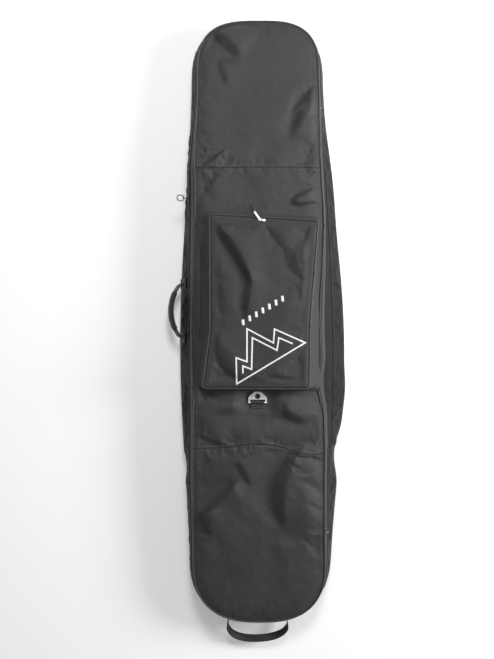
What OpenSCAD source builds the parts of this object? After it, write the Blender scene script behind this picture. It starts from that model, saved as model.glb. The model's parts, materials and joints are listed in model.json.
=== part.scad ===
// Padded snowboard bag lying on its back, nose towards +Y.
// Origin: on the floor under the middle of the bag. X across, Y along, Z up.
// The lid opens about its right edge; the zipper runs round the nose, the left side and the tail.

/* [Bag] */
// Length of the lid from nose to tail
lid_length = 1614; // [1560:2:1680]
// Half width of the lid, from the centre line to its left edge
lid_left_half = 180; // [176:1:184]
// Half width of the lid, from the centre line to its right edge at mid length
lid_right_half = 167; // [163:1:170]
// Height of the lid's edge above the floor
lid_height = 100; // [96:1:106]
// How far the lid's edge drops towards the nose and the tail
end_drop = 25; // [15:1:28]
// How far the base stands out past the lid on the left at mid length
base_spread_left = 32; // [26:1:36]
// How far the base stands out past the lid on the right at mid length
base_spread_right = 50; // [44:1:54]

/* [Padding] */
// Thickness of the outer fabric
fabric_t = 1.6; // [1.2:0.1:1.8]
// Thickness of the foam in the back
base_foam_t = 7; // [5:0.5:7]
// Thickness of the foam in the lid
lid_foam_t = 5; // [4:0.5:5]
// Thickness of the foam in the side walls
wall_foam_t = 5; // [4:0.5:5]

/* [Pocket] */
// Height of the pocket's front above the lid at its top edge
pocket_top_h = 15; // [13:1:18]
// Height of the pocket's front above the lid at its bottom edge
pocket_bottom_h = 34; // [30:1:38]

/* [Hardware] */
// Radius of the hole in the accessory tab
tab_hole_r = 7; // [6:0.5:7.5]
// Thickness of the accessory tab
tab_t = 2.6; // [2.4:0.1:3]
// Width of the webbing of the side handle
handle_webbing_w = 25; // [22:1:26]

/* [Hidden] */

// Colours
charcoal = [0.20, 0.20, 0.195];
charcoal_dark = [0.13, 0.135, 0.135];
black_webbing = [0.07, 0.07, 0.07];
zip_black = [0.05, 0.05, 0.05];
foam_grey = [0.45, 0.45, 0.46];
lining_grey = [0.30, 0.31, 0.33];
nickel = [0.78, 0.79, 0.80];
handle_grey = [0.18, 0.175, 0.16];

// Places along the bag
nose_y = lid_length / 2;
tail_y = -lid_length / 2;
nose_round_y = nose_y - 152;   // where the rounding of the nose starts
tail_round_y = tail_y + 167;   // where the rounding of the tail starts
nose_seam_y = 406;             // cross seam of the front, nose side
tail_seam_y = -337;            // cross seam of the front, tail side
run_end_y = 380;               // nose end of the zipper's straight run on the left
seam_gap = 0.6;                // room left between two sewn panels
corner_power = 2.6;            // squareness of the rounded ends
cap_angle = 78;                // how far round an end the outline's last point lies
cap_steps = 8;

// The wall of the bag, measured as a distance s below the lid's edge
zip_s = 23;                    // centre line of the main zipper
cheek_s = 35;                  // lower edge of the zipper's lower tape
teeth_near = 1.4;              // from the zipper's centre line to a row of teeth
teeth_far = 4.2;
tape_near = 4.5;
foot_z = 20;                   // height at which the side wall is widest
zip_spread = 9;                // how far the zipper stands out past the lid on the left
zip_tilt = atan(zip_spread / zip_s);

// The pocket: its front lies in a plane tilted about X, through the flap's hinge line
flap_hinge_y = 5;
pocket_top_y = 285;
pocket_bottom_y = -178;
pocket_tilt = atan((pocket_bottom_h - pocket_top_h) / (pocket_top_y - pocket_bottom_y));
flap_hinge_z = lid_height + pocket_top_h + (pocket_top_y - flap_hinge_y) * tan(pocket_tilt);

// Insets from the edge of the pocket's front: piping, tape, teeth, teeth, tape, flap
pipe_r = 2;
zip_insets = [4.4, 9.0, 9.2, 11.8, 13.4, 16.0, 16.2, 21.0, 21.3];
zip_line_inset = (zip_insets[3] + zip_insets[4]) / 2;

// Pins and eyes of the zipper pulls
pin_r = 1.1;
eye_clearance = 0.08;

// Main slider and its places
main_slider_y = 330;
pocket_slider_x = 4;

// Accessory tab
tab_x = -7;
tab_bar_y = -214;
tab_bar_r = 1.9;
tab_bar_z = lid_height + 4.1;
tab_tip_y = -185;
tab_w = 49;
web_t = 1.2;

// Side handle
side_handle_x = -216;
side_handle_y = 30;
side_handle_z = 48;
side_handle_half = 73;         // half the distance between its ends
side_handle_rise = 26;         // how far its middle stands out from its hinge line
side_handle_rest = 12;         // upward tilt at rest
side_handle_r = (pow(side_handle_half, 2) + pow(side_handle_rise, 2)) / (2 * side_handle_rise);
side_handle_arc = asin(side_handle_half / side_handle_r);

// Tail handle
tail_handle_x = -6;
tail_handle_y = tail_y - 14;
tail_handle_z = 30;
tail_handle_half = 82;
tail_handle_reach = 52;
tail_handle_w = 22;
tail_handle_t = 3;

// ---------- Outlines ----------

function bell(y, centre, span) = abs(y - centre) < span ? pow(cos(90 * (y - centre) / span), 2) : 0;
function smooth(t) = let (u = max(0, min(1, t))) u * u * (3 - 2 * u);
function nose_taper(y) = smooth((y - run_end_y) / 240);
function tail_taper(y) = smooth((-400 - y) / 240);

// Half widths of the three levels of the wall, as [right, left]: the base, the lid's edge and the zipper
function base_half(y) = [
    lid_right_half + 15 - y / 80 + base_spread_right * bell(y, -60, 760),
    lid_left_half + 7 + base_spread_left * bell(y, -60, 760)
];
function lid_half(y) = [lid_right_half - y / 80, lid_left_half - 11 * nose_taper(y)];
function zip_half(y) = let (l = lid_half(y), b = base_half(y)) [
    l[0] + 0.29 * (b[0] - l[0]),
    l[1] + zip_spread - 4 * nose_taper(y) - 4 * tail_taper(y)
];
// Half widths at a distance s below the lid's edge, on the straight upper part of the wall
function cheek_half(y, s) = lid_half(y) + (zip_half(y) - lid_half(y)) * s / zip_s;
function drop(y) = y > nose_seam_y ? -end_drop * (y - nose_seam_y) / (nose_y - nose_seam_y)
    : y < tail_seam_y ? -end_drop * (tail_seam_y - y) / (tail_seam_y - tail_y) : 0;

function steps(a, b, n) = [for (i = [0 : n - 1]) a + (b - a) * i / n];
side_ys = concat(
    steps(tail_round_y, tail_seam_y, 4), steps(tail_seam_y, run_end_y, 7),
    [run_end_y], steps(nose_seam_y, nose_round_y, 3), [nose_round_y]
);
function cap_y(k, from, to) = let (rise = sin(cap_angle * k / cap_steps) / sin(cap_angle))
    from + (to - from) * pow(rise, 2 / corner_power);
function cap_f(k) = pow(cos(cap_angle * k / cap_steps), 2 / corner_power);

// Stations of an outline set in by d, from tail to nose, as [y, right half, left half, width factor]
function stations(d) = concat(
    [for (k = [cap_steps : -1 : 1]) [cap_y(k, tail_round_y, tail_y + d), cap_f(k)]],
    [for (y = side_ys) [y, 1]],
    [for (k = [1 : cap_steps]) [cap_y(k, nose_round_y, nose_y - d), cap_f(k)]]
);
function loop_of(st, halves, d, zs) = let (n = len(st)) concat(
    [for (i = [0 : n - 1]) [(halves[i][0] - d) * st[i][1], st[i][0], zs[i]]],
    [for (i = [n - 1 : -1 : 0]) [-(halves[i][1] - d) * st[i][1], st[i][0], zs[i]]]
);
// A loop at a distance s below the lid's edge, and one at a height z round the base
function cheek_loop(s, d = 0) = let (st = stations(d)) loop_of(
    st, [for (p = st) cheek_half(p[0], s)], d, [for (p = st) lid_height + drop(p[0]) - s]
);
function foot_loop(z, d = 0) = let (st = stations(d)) loop_of(
    st, [for (p = st) base_half(p[0])], d, [for (p = st) z]
);

// ---------- Solids from loops ----------

// Loops joined in order by triangles, and the last to the first; an open strip gets a cap at each end
module loops_solid(loops, closed = true) {
    n = len(loops[0]);
    k = len(loops);
    last = closed ? n - 1 : n - 2;
    function at(j, i) = (j % k) * n + i % n;
    // The inner side's quads are cut along the same diagonal as the outer side's,
    // so that a thin wall keeps its thickness
    function halves(a, b, c, d, inner) = inner ? [[a, b, d], [b, c, d]] : [[a, b, c], [a, c, d]];
    sides = [for (j = [0 : k - 1], i = [0 : last])
        each halves(at(j, i), at(j + 1, i), at(j + 1, i + 1), at(j, i + 1), j >= k / 2)];
    caps = closed ? [] : [
        [for (j = [k - 1 : -1 : 0]) j * n],
        [for (j = [0 : k - 1]) j * n + n - 1]
    ];
    polyhedron([for (l = loops) each l], concat(sides, caps), convexity = 10);
}

// A sheet between two loops whose points pair up across the bag
module sheet_solid(low, high) {
    n = len(low);
    walls = [for (i = [0 : n - 1]) [i, n + i, n + (i + 1) % n, (i + 1) % n]];
    top = [for (i = [0 : n / 2 - 2]) [n + i, 2 * n - 1 - i, 2 * n - 2 - i, n + i + 1]];
    under = [for (i = [0 : n / 2 - 2]) [i, i + 1, n - 2 - i, n - 1 - i]];
    polyhedron(concat(low, high), concat(walls, top, under), convexity = 10);
}

// Part of a loop's row of points from index a to index b, going round, with g cut off each end
function towards(p, q, g) = p + (q - p) * g / norm(q - p);
function row_part(row, a, b, g = 0) = let (
    n = len(row),
    count = (b - a + n) % n,
    part = [for (i = [0 : count]) row[(a + i) % n]]
) [for (i = [0 : count])
    i == 0 ? towards(part[0], part[1], g) : i == count ? towards(part[count], part[count - 1], g) : part[i]];
function start_part(row, g0, g1) = [towards(row[0], row[1], g0), towards(row[0], row[1], g1)];
function end_part(row, g0, g1) = let (n = len(row))
    [towards(row[n - 1], row[n - 2], g1), towards(row[n - 1], row[n - 2], g0)];

// Where the zipper ends: stations on the right side near the nose and near the tail
zip_start = cap_steps + len(side_ys) - 2;
zip_finish = cap_steps + 1;

// The four edges of a band of the wall between s0 and s1, from inset d0 to d1
function wall_band(s0, s1, d0, d1) =
    [cheek_loop(s1, d0), cheek_loop(s0, d0), cheek_loop(s0, d1), cheek_loop(s1, d1)];
module zip_strip(s0, s1, d0, d1, g) {
    loops_solid([for (row = wall_band(s0, s1, d0, d1)) row_part(row, zip_start, zip_finish, g)], false);
}
module hinge_strip(s0, s1, d0, d1) {
    loops_solid([for (row = wall_band(s0, s1, d0, d1)) row_part(row, zip_finish, zip_start, 1)], false);
}
// A round cord along the wall, its centre at distance s and inset d
module ring_cord(s, d, r, sides = 6) {
    loops_solid([for (i = [0 : sides - 1]) let (a = 30 + 360 * i / sides)
        cheek_loop(s - r * sin(a), d - r * cos(a))]);
}

// ---------- Base ----------

module back_panel() {
    color(charcoal_dark) sheet_solid(foot_loop(0, 12), foot_loop(fabric_t, 12));
}

module base_foam() {
    color(foam_grey) sheet_solid(foot_loop(2, 16), foot_loop(2 + base_foam_t, 16));
}

module base_lining() {
    z = 2.4 + base_foam_t;
    color(lining_grey) sheet_solid(foot_loop(z, 17), foot_loop(z + 0.8, 17));
}

module side_gusset() {
    top = cheek_s + 0.3;
    color(charcoal_dark) loops_solid([
        foot_loop(6, 5.5), foot_loop(foot_z), cheek_loop(top),
        cheek_loop(top, fabric_t), foot_loop(foot_z + 0.6, fabric_t), foot_loop(7.2, 5.5 + fabric_t)
    ]);
}

module gusset_foam() {
    top = cheek_s + 2.5;
    near = fabric_t + 0.8;
    color(foam_grey) loops_solid([
        foot_loop(12, 9.5), foot_loop(foot_z + 1.2, near + 0.4), cheek_loop(top, near),
        cheek_loop(top, near + wall_foam_t), foot_loop(foot_z + 3, near + wall_foam_t + 0.8),
        foot_loop(12, 14.5)
    ]);
}

module gusset_lining() {
    top = cheek_s + 2.5;
    near = fabric_t + wall_foam_t + 1.4;
    color(lining_grey) loops_solid([
        foot_loop(11, 15.2), foot_loop(foot_z + 3.6, near + 1.2), cheek_loop(top, near),
        cheek_loop(top, near + 1), foot_loop(foot_z + 4, near + 2.2), foot_loop(11, 16.4)
    ]);
}

module back_piping() {
    r = 2.4;
    color(zip_black) loops_solid([for (i = [0 : 5]) let (a = 30 + 60 * i)
        foot_loop(3 + r * sin(a), 8.5 - r * cos(a))]);
}

module hinge_facing_lower() {
    color(charcoal_dark) hinge_strip(zip_s + teeth_near, cheek_s, 0, 1.2);
}

module main_zip_lower_tape() {
    color(zip_black) zip_strip(zip_s + tape_near, cheek_s, 0.2, 1.2, 1);
}

module main_zip_lower_teeth() {
    color(zip_black) zip_strip(zip_s + teeth_near, zip_s + teeth_far, -0.7, 2.1, 8);
}

module main_zip_stops() {
    rows = [for (row = wall_band(zip_s + teeth_near, zip_s + teeth_far, -0.9, 2.3))
        row_part(row, zip_start, zip_finish)];
    color(nickel) {
        loops_solid([for (row = rows) start_part(row, 2, 7)], false);
        loops_solid([for (row = rows) end_part(row, 2, 7)], false);
    }
}

// Webbing ends sewn to the sloping wall under the side handle
module side_handle_anchors() {
    color(black_webbing) for (side = [-1, 1])
        translate([side_handle_x + 8, side_handle_y + side * side_handle_half, side_handle_z - 5])
            rotate([0, 29.3, 0]) cube([1.6, 26, 30], center = true);
}

module tail_handle_anchors() {
    color(black_webbing) for (side = [-1, 1])
        translate([tail_handle_x + side * tail_handle_half, tail_y - 1.6, 27])
            rotate([0, 0, side * 4]) cube([26, 1.6, 20], center = true);
}

// ---------- Lid ----------

// One panel of the front between two places along the bag
function clipped(loop, y0, y1) = [for (p = loop) if (p[1] > y0 - 1 && p[1] < y1 + 1)
    [p[0], max(y0 + seam_gap / 2, min(y1 - seam_gap / 2, p[1])), p[2]]];
module front_panel(y0, y1) {
    inset = 5.4;
    sheet_solid(clipped(cheek_loop(fabric_t, inset), y0, y1), clipped(cheek_loop(0, inset), y0, y1));
}

module front_panel_nose() {
    color(charcoal) front_panel(nose_seam_y, nose_y);
}

module front_panel_middle() {
    color(charcoal) front_panel(tail_seam_y, nose_seam_y);
}

module front_panel_tail() {
    color(charcoal) front_panel(tail_y, tail_seam_y);
}

module lid_foam() {
    s = fabric_t + 0.4;
    color(foam_grey) sheet_solid(cheek_loop(s + lid_foam_t, 8), cheek_loop(s, 8));
}

module lid_lining() {
    s = fabric_t + lid_foam_t + 0.8;
    color(lining_grey) sheet_solid(cheek_loop(s + 0.8, 9), cheek_loop(s, 9));
}

module lid_piping() {
    color(zip_black) ring_cord(0.5, 2.3, 2.2);
}

module lid_side_band() {
    color(charcoal) loops_solid(wall_band(3.4, zip_s - 12.3, 0.2, 0.2 + fabric_t));
}

module hinge_facing_upper() {
    color(charcoal) hinge_strip(zip_s - 12, zip_s - teeth_near, 0, 1.2);
}

module main_zip_upper_tape() {
    color(zip_black) zip_strip(zip_s - 12, zip_s - tape_near, 0.2, 1.2, 1);
}

module main_zip_upper_teeth() {
    color(zip_black) zip_strip(zip_s - teeth_far, zip_s - teeth_near, -0.7, 2.1, 8);
}

// ---------- Pocket ----------

// Corners of the pocket's front in its own plane, measured from the flap's hinge line,
// going round anticlockwise from the bottom right
front_corners = [
    [129, pocket_bottom_y - flap_hinge_y], [132, -9], [155, pocket_top_y - 18 - flap_hinge_y],
    [-135, pocket_top_y - flap_hinge_y], [-134, -27], [-153, pocket_bottom_y + 2 - flap_hinge_y]
];
front_radii = [14, 40, 14, 14, 40, 14];
// Corners of its foot on the lid
foot_corners = [[159, -180], [157, -4], [154, 279], [-158, 293], [-161, -22], [-163, -179]];
top_edge_angle = atan2(front_corners[2][1] - front_corners[3][1], front_corners[2][0] - front_corners[3][0]);

function unit(v) = v / norm(v);
function inward(a, b) = let (u = unit(b - a)) [-u[1], u[0]];
function cross_point(p, u, q, v) = let (w = q - p, k = u[0] * v[1] - u[1] * v[0])
    p + u * (w[0] * v[1] - w[1] * v[0]) / k;
// A polygon with every edge moved inwards by d
function inset_corners(pts, d) = let (n = len(pts)) [for (i = [0 : n - 1]) let (
    a = pts[(i + n - 1) % n], b = pts[i], c = pts[(i + 1) % n]
) cross_point(b + d * inward(a, b), unit(b - a), b + d * inward(b, c), unit(c - b))];
// A polygon with every corner rounded in steps
function rounded(pts, radii, steps = 4) = let (n = len(pts)) [for (i = [0 : n - 1]) let (
    b = pts[i],
    u = unit(pts[(i + n - 1) % n] - b),
    v = unit(pts[(i + 1) % n] - b),
    reach = radii[i] / tan(acos(u * v) / 2)
) for (k = [0 : steps]) let (t = k / steps) b + u * reach * pow(1 - t, 2) + v * reach * pow(t, 2)];
function front_outline(d) = rounded(inset_corners(front_corners, d), [for (r = front_radii) max(2, r - d)]);

module in_pocket_plane() {
    translate([0, flap_hinge_y, flap_hinge_z]) rotate([-pocket_tilt, 0, 0]) children();
}
// A point of the pocket's plane in the bag's frame
function from_pocket_plane(p, w) = [
    p[0],
    flap_hinge_y + p[1] * cos(pocket_tilt) + w * sin(pocket_tilt),
    flap_hinge_z - p[1] * sin(pocket_tilt) + w * cos(pocket_tilt)
];
function front_loop(d, w) = [for (p = front_outline(d)) from_pocket_plane(p, w)];
function pocket_foot_loop(d, z) =
    [for (p = rounded(inset_corners(foot_corners, d), front_radii)) [p[0], p[1], z]];

// A flat strip of the front between two insets, above or below the hinge line
module front_strip(d0, d1, low, high, side) {
    in_pocket_plane() translate([0, 0, low]) linear_extrude(high - low) intersection() {
        difference() {
            polygon(front_outline(d0));
            polygon(front_outline(d1));
        }
        translate([-200, side > 0 ? 0.4 : -300.4]) square([400, 300]);
    }
}

module pocket_gusset() {
    base_z = lid_height + 0.4;
    color(charcoal_dark) loops_solid([
        pocket_foot_loop(0, base_z), front_loop(0.6, -3.4),
        front_loop(0.6 + fabric_t, -3.4), pocket_foot_loop(fabric_t, base_z)
    ]);
}

module pocket_front_lower() {
    color(charcoal) in_pocket_plane() translate([0, 0, -fabric_t]) linear_extrude(fabric_t) intersection() {
        polygon(front_outline(zip_insets[0]));
        translate([-200, -300.4]) square([400, 300]);
    }
}

module pocket_piping() {
    color(zip_black) loops_solid([for (i = [0 : 5]) let (a = 30 + 60 * i)
        front_loop(pipe_r - pipe_r * cos(a), -1 + pipe_r * sin(a))]);
}

module pocket_zip_outer_tape() {
    color(zip_black) front_strip(zip_insets[0], zip_insets[1], -1.2, -0.2, 1);
}

// A row of teeth on the front, ending a little above the hinge line
module teeth_row(d0, d1) {
    difference() {
        front_strip(d0, d1, -1.9, 0.9, 1);
        in_pocket_plane() translate([-200, -1, -5]) cube([400, 8, 10]);
    }
}

module pocket_zip_outer_teeth() {
    color(zip_black) teeth_row(zip_insets[2], zip_insets[3]);
}

module pocket_zip_stops() {
    color(nickel) intersection() {
        front_strip(zip_insets[2], zip_insets[3], -2.1, 1.1, 1);
        in_pocket_plane() translate([-200, 1, -5]) cube([400, 5, 10]);
    }
}

// ---------- Pocket flap ----------

module pocket_flap_panel() {
    color(charcoal) in_pocket_plane() translate([0, 0, -fabric_t]) linear_extrude(fabric_t) intersection() {
        polygon(front_outline(zip_insets[8]));
        translate([-200, 0.4]) square([400, 300]);
    }
}

module pocket_zip_inner_tape() {
    color(zip_black) front_strip(zip_insets[6], zip_insets[7], -1.2, -0.2, 1);
}

module pocket_zip_inner_teeth() {
    color(zip_black) teeth_row(zip_insets[4], zip_insets[5]);
}

// ---------- Sliders and pulls ----------

// Frame of the main slider: local X out of the wall, Y along the zipper, Z up the wall
module at_main_slider() {
    translate([-(lid_left_half + zip_spread), main_slider_y, lid_height - zip_s])
        rotate([0, zip_tilt, 0]) mirror([1, 0, 0]) children();
}
pull_pin_out = 6.6;      // from the zipper's plane out to the pull's pin
pull_pin_down = -2.6;    // from the zipper's centre line to the middle of that pin

// Two posts and the pin between them, the pin along local Z
module pull_bridge(from_x, pin_x, half_pin) {
    for (side = [-1, 1])
        translate([from_x, -2, side > 0 ? half_pin : -half_pin - 1.2]) cube([pin_x + 1.6 - from_x, 4, 1.2]);
    translate([pin_x, 0, -half_pin - 0.4]) cylinder(h = 2 * half_pin + 0.8, r = pin_r, $fn = 32);
}

module main_slider_body() {
    color(nickel) at_main_slider() {
        translate([1.2, -13, -6.2]) cube([1.8, 26, 6.9]);
        translate([-4.4, -13, -6.2]) cube([1.9, 26, 12.4]);
        translate([-2.8, 6, -0.2]) cube([4.3, 7, 0.9]);
        translate([0, 0, pull_pin_down]) pull_bridge(2.6, pull_pin_out, 1.9);
    }
}

// An eye on a pin along local Z, and a flat blade along local X with a hole for the cord
module pull_blade(length, half_width, eye_half, thick) {
    difference() {
        union() {
            cylinder(h = 2 * eye_half, r = 3, center = true, $fn = 40);
            translate([0, -thick / 2, -eye_half]) cube([8, thick, 2 * eye_half]);
            translate([6, -thick / 2, -half_width]) cube([length - 6 - half_width, thick, 2 * half_width]);
            translate([length - half_width, 0, 0]) rotate([90, 0, 0])
                cylinder(h = thick, r = half_width, center = true, $fn = 40);
        }
        cylinder(h = 4 * eye_half, r = pin_r + eye_clearance, center = true, $fn = 32);
        translate([length - half_width, 0, 0]) rotate([90, 0, 0])
            cylinder(h = 8, r = 2.1, center = true, $fn = 32);
    }
}

module main_slider_pull() {
    color(nickel) at_main_slider() translate([pull_pin_out, 0, pull_pin_down]) pull_blade(12, 3.8, 1.6, 1.8);
}

// A cord bent into a long ring in the local XY plane, starting at the origin
module cord_ring(r_end, straight, r_cord) {
    for (end = [0, 1]) translate([r_end + end * straight, 0, 0]) rotate([0, 0, end ? -90 : 90])
        rotate_extrude(angle = 180, $fn = 48) translate([r_end, 0]) circle(r = r_cord, $fn = 24);
    for (side = [-1, 1]) translate([r_end, side * r_end, 0]) rotate([0, 90, 0])
        cylinder(h = straight, r = r_cord, $fn = 24);
}

module main_pull_cord() {
    color(black_webbing) at_main_slider() translate([pull_pin_out + 8.2, 0, pull_pin_down])
        cord_ring(7.5, 4, 1.3);
}

// Frame of the pocket slider: local Z up from the front, X along the zipper
slider_line = let (
    c = inset_corners(front_corners, zip_line_inset), u = unit(c[2] - c[3])
) c[3] + u * (pocket_slider_x - c[3][0]) / u[0];
module at_pocket_slider() {
    in_pocket_plane() translate([slider_line[0], slider_line[1], 0])
        rotate([0, 0, top_edge_angle]) children();
}
pocket_pin_up = 6.3;
pocket_pin_across = 2.3;
pocket_pull_turn = 128;      // direction of the pull in the pocket's plane, from the zipper's line

module pocket_slider_body() {
    color(nickel) at_pocket_slider() {
        translate([-9, -0.5, 1.3]) cube([18, 5.9, 1.7]);
        translate([-9, -0.5, -4]) cube([18, 5.9, 1.6]);
        translate([3, -0.5, -2.6]) cube([6, 1, 4.1]);
        for (across = [-0.4, 4]) translate([-1.8, across, 2.8]) cube([3.6, 1, pocket_pin_up - 1.4]);
        translate([0, 0.4, pocket_pin_up]) rotate([-90, 0, 0]) cylinder(h = 3.8, r = pin_r, $fn = 32);
    }
}

module pocket_slider_pull() {
    reach = 26;
    color(nickel) at_pocket_slider() translate([0, pocket_pin_across, pocket_pin_up]) difference() {
        union() {
            rotate([90, 0, 0]) cylinder(h = 2.4, r = 2.5, center = true, $fn = 40);
            translate([-6, -1.2, -0.8]) cube([6, 2.4, 1.6]);
            translate([-5, 0, -0.8]) rotate([0, 0, pocket_pull_turn]) {
                translate([0, -2.6, 0]) cube([reach, 5.2, 1.6]);
                translate([reach, 0, 0]) cylinder(h = 1.6, r = 2.6, $fn = 40);
            }
            translate([-5, 0, -0.8]) cylinder(h = 1.6, r = 2.6, $fn = 40);
        }
        rotate([90, 0, 0]) cylinder(h = 8, r = pin_r + eye_clearance, center = true, $fn = 32);
        translate([-5, 0, -2]) rotate([0, 0, pocket_pull_turn]) translate([reach, 0, 0])
            cylinder(h = 6, r = 1.4, $fn = 32);
    }
}

module pocket_pull_cord() {
    reach = 26;
    color(black_webbing) at_pocket_slider() translate([-5, pocket_pin_across, pocket_pin_up])
        rotate([0, 0, pocket_pull_turn]) translate([reach, 0, 0]) rotate([90, 0, 0]) cord_ring(4, 14, 1);
}

// ---------- Accessory tab ----------

module accessory_tab() {
    shoulder_y = tab_bar_y + 8;
    color(nickel) difference() {
        union() {
            translate([tab_x, 0, tab_bar_z - tab_t / 2]) linear_extrude(tab_t) difference() {
                polygon([
                    [-tab_w / 2, tab_bar_y], [-tab_w / 2, shoulder_y + 6], [-tab_w / 2 + 3, shoulder_y + 9],
                    [-10, tab_tip_y - 2], [-6, tab_tip_y], [6, tab_tip_y], [10, tab_tip_y - 2],
                    [tab_w / 2 - 3, shoulder_y + 9], [tab_w / 2, shoulder_y + 6], [tab_w / 2, tab_bar_y]
                ]);
                translate([-20, tab_bar_y - 1]) square([40, shoulder_y - tab_bar_y + 1]);
            }
            translate([tab_x - tab_w / 2, tab_bar_y, tab_bar_z]) rotate([0, 90, 0])
                cylinder(h = tab_w, r = tab_bar_r, $fn = 40);
        }
        translate([tab_x, tab_tip_y - 12.5, tab_bar_z - 5]) cylinder(h = 10, r = tab_hole_r, $fn = 64);
    }
}

// Webbing round the tab's bar, its ends sewn to the lid
module tab_web_loop() {
    outer = tab_bar_r + eye_clearance + web_t;
    half_w = 18;
    low = lid_height + 0.3 - tab_bar_z;
    color(black_webbing) translate([tab_x - half_w, tab_bar_y, tab_bar_z]) rotate([90, 0, 90])
        linear_extrude(2 * half_w) difference() {
            union() {
                circle(r = outer, $fn = 48);
                translate([-14, low]) square([14, web_t]);
            }
            circle(r = tab_bar_r + eye_clearance, $fn = 48);
        }
}

// ---------- Handles ----------

// Frame of the side handle: local X away from the bag along the handle's rise, Z across its webbing
module at_side_handle() {
    translate([side_handle_x, side_handle_y, side_handle_z])
        rotate([0, side_handle_rest, 0]) mirror([1, 0, 0]) children();
}
module handle_arc(half_angle, from_r, to_r, width) {
    translate([side_handle_rise - side_handle_r, 0, 0]) rotate([0, 0, -half_angle])
        rotate_extrude(angle = 2 * half_angle, $fn = 96)
            translate([from_r, -width / 2]) square([to_r - from_r, width]);
}

module side_handle_webbing() {
    color(black_webbing) at_side_handle()
        handle_arc(side_handle_arc, side_handle_r - 1.2, side_handle_r + 1.2, handle_webbing_w);
}

// Padded sleeve round the middle of the webbing
module side_handle_grip() {
    wall = 4;
    gap = 1.6;
    color(handle_grey) at_side_handle() difference() {
        handle_arc(side_handle_arc - 16, side_handle_r - gap - wall, side_handle_r + gap + wall,
            handle_webbing_w + 6);
        handle_arc(side_handle_arc, side_handle_r - gap, side_handle_r + gap, handle_webbing_w + 0.8);
    }
}

// A loop of webbing: edge up at its ends and lying flat at its middle
module tail_handle_webbing() {
    count = 18;
    ts = [for (i = [0 : count]) i / count];
    function centre(t) = [
        tail_handle_x - tail_handle_half * cos(180 * t),
        tail_handle_y - tail_handle_reach * pow(sin(180 * t), 0.8) - 1.5,
        tail_handle_z - 8 * pow(sin(180 * t), 2)
    ];
    function lean(t) = 78 * pow(sin(180 * t), 2);
    function corner(t, across, out) = let (
        c = centre(t), a = lean(t), o = [-cos(180 * t), -sin(180 * t), 0],
        w = [o[0] * sin(a), o[1] * sin(a), cos(a)], n = [o[0] * cos(a), o[1] * cos(a), -sin(a)]
    ) c + across * tail_handle_w / 2 * w + out * tail_handle_t / 2 * n;
    color(black_webbing) loops_solid([
        for (k = [[-1, 1], [1, 1], [1, -1], [-1, -1]]) [for (t = ts) corner(t, k[0], k[1])]
    ], false);
}

back_panel();
base_foam();
base_lining();
side_gusset();
gusset_foam();
gusset_lining();
back_piping();
hinge_facing_lower();
main_zip_lower_tape();
main_zip_lower_teeth();
main_zip_stops();
side_handle_anchors();
tail_handle_anchors();
front_panel_nose();
front_panel_middle();
front_panel_tail();
lid_foam();
lid_lining();
lid_piping();
lid_side_band();
hinge_facing_upper();
main_zip_upper_tape();
main_zip_upper_teeth();
pocket_gusset();
pocket_front_lower();
pocket_piping();
pocket_zip_outer_tape();
pocket_zip_outer_teeth();
pocket_zip_stops();
tab_web_loop();
pocket_flap_panel();
pocket_zip_inner_tape();
pocket_zip_inner_teeth();
main_slider_body();
main_slider_pull();
main_pull_cord();
pocket_slider_body();
pocket_slider_pull();
pocket_pull_cord();
accessory_tab();
side_handle_webbing();
side_handle_grip();
tail_handle_webbing();
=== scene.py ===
import json
import math

import bpy
import numpy as np
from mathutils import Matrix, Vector, noise


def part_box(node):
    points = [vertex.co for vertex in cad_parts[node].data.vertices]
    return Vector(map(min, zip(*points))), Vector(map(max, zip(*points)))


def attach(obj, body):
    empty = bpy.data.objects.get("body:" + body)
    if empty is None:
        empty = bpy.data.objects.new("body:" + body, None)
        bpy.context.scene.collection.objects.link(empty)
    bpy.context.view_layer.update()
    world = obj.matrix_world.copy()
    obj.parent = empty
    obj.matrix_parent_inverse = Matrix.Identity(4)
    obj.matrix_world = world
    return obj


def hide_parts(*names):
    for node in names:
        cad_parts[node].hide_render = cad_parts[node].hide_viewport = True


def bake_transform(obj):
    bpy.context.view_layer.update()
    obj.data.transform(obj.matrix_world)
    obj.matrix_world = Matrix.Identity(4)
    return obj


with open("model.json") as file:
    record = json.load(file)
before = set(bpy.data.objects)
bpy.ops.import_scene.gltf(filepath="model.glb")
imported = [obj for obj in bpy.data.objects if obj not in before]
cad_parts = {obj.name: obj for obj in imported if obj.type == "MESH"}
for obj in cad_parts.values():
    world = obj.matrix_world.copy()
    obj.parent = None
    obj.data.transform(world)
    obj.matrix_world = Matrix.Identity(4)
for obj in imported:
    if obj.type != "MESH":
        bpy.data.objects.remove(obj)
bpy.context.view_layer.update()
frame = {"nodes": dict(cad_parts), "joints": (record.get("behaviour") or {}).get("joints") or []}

# All lengths below are millimetres, in the CAD frame: X across, Y towards the nose, Z up.
MM = 0.001
UP = np.array([0, 0, 1])
ALONG_Y = np.array([0, 1, 0])


def box_mm(node):
    low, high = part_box(node)
    return np.array(low) / MM, np.array(high) / MM


def joint_place(name):
    return np.array(next(j["pos_m"] for j in frame["joints"] if j["name"] == name)) / MM


# ----- Driving dimensions -----

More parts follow.
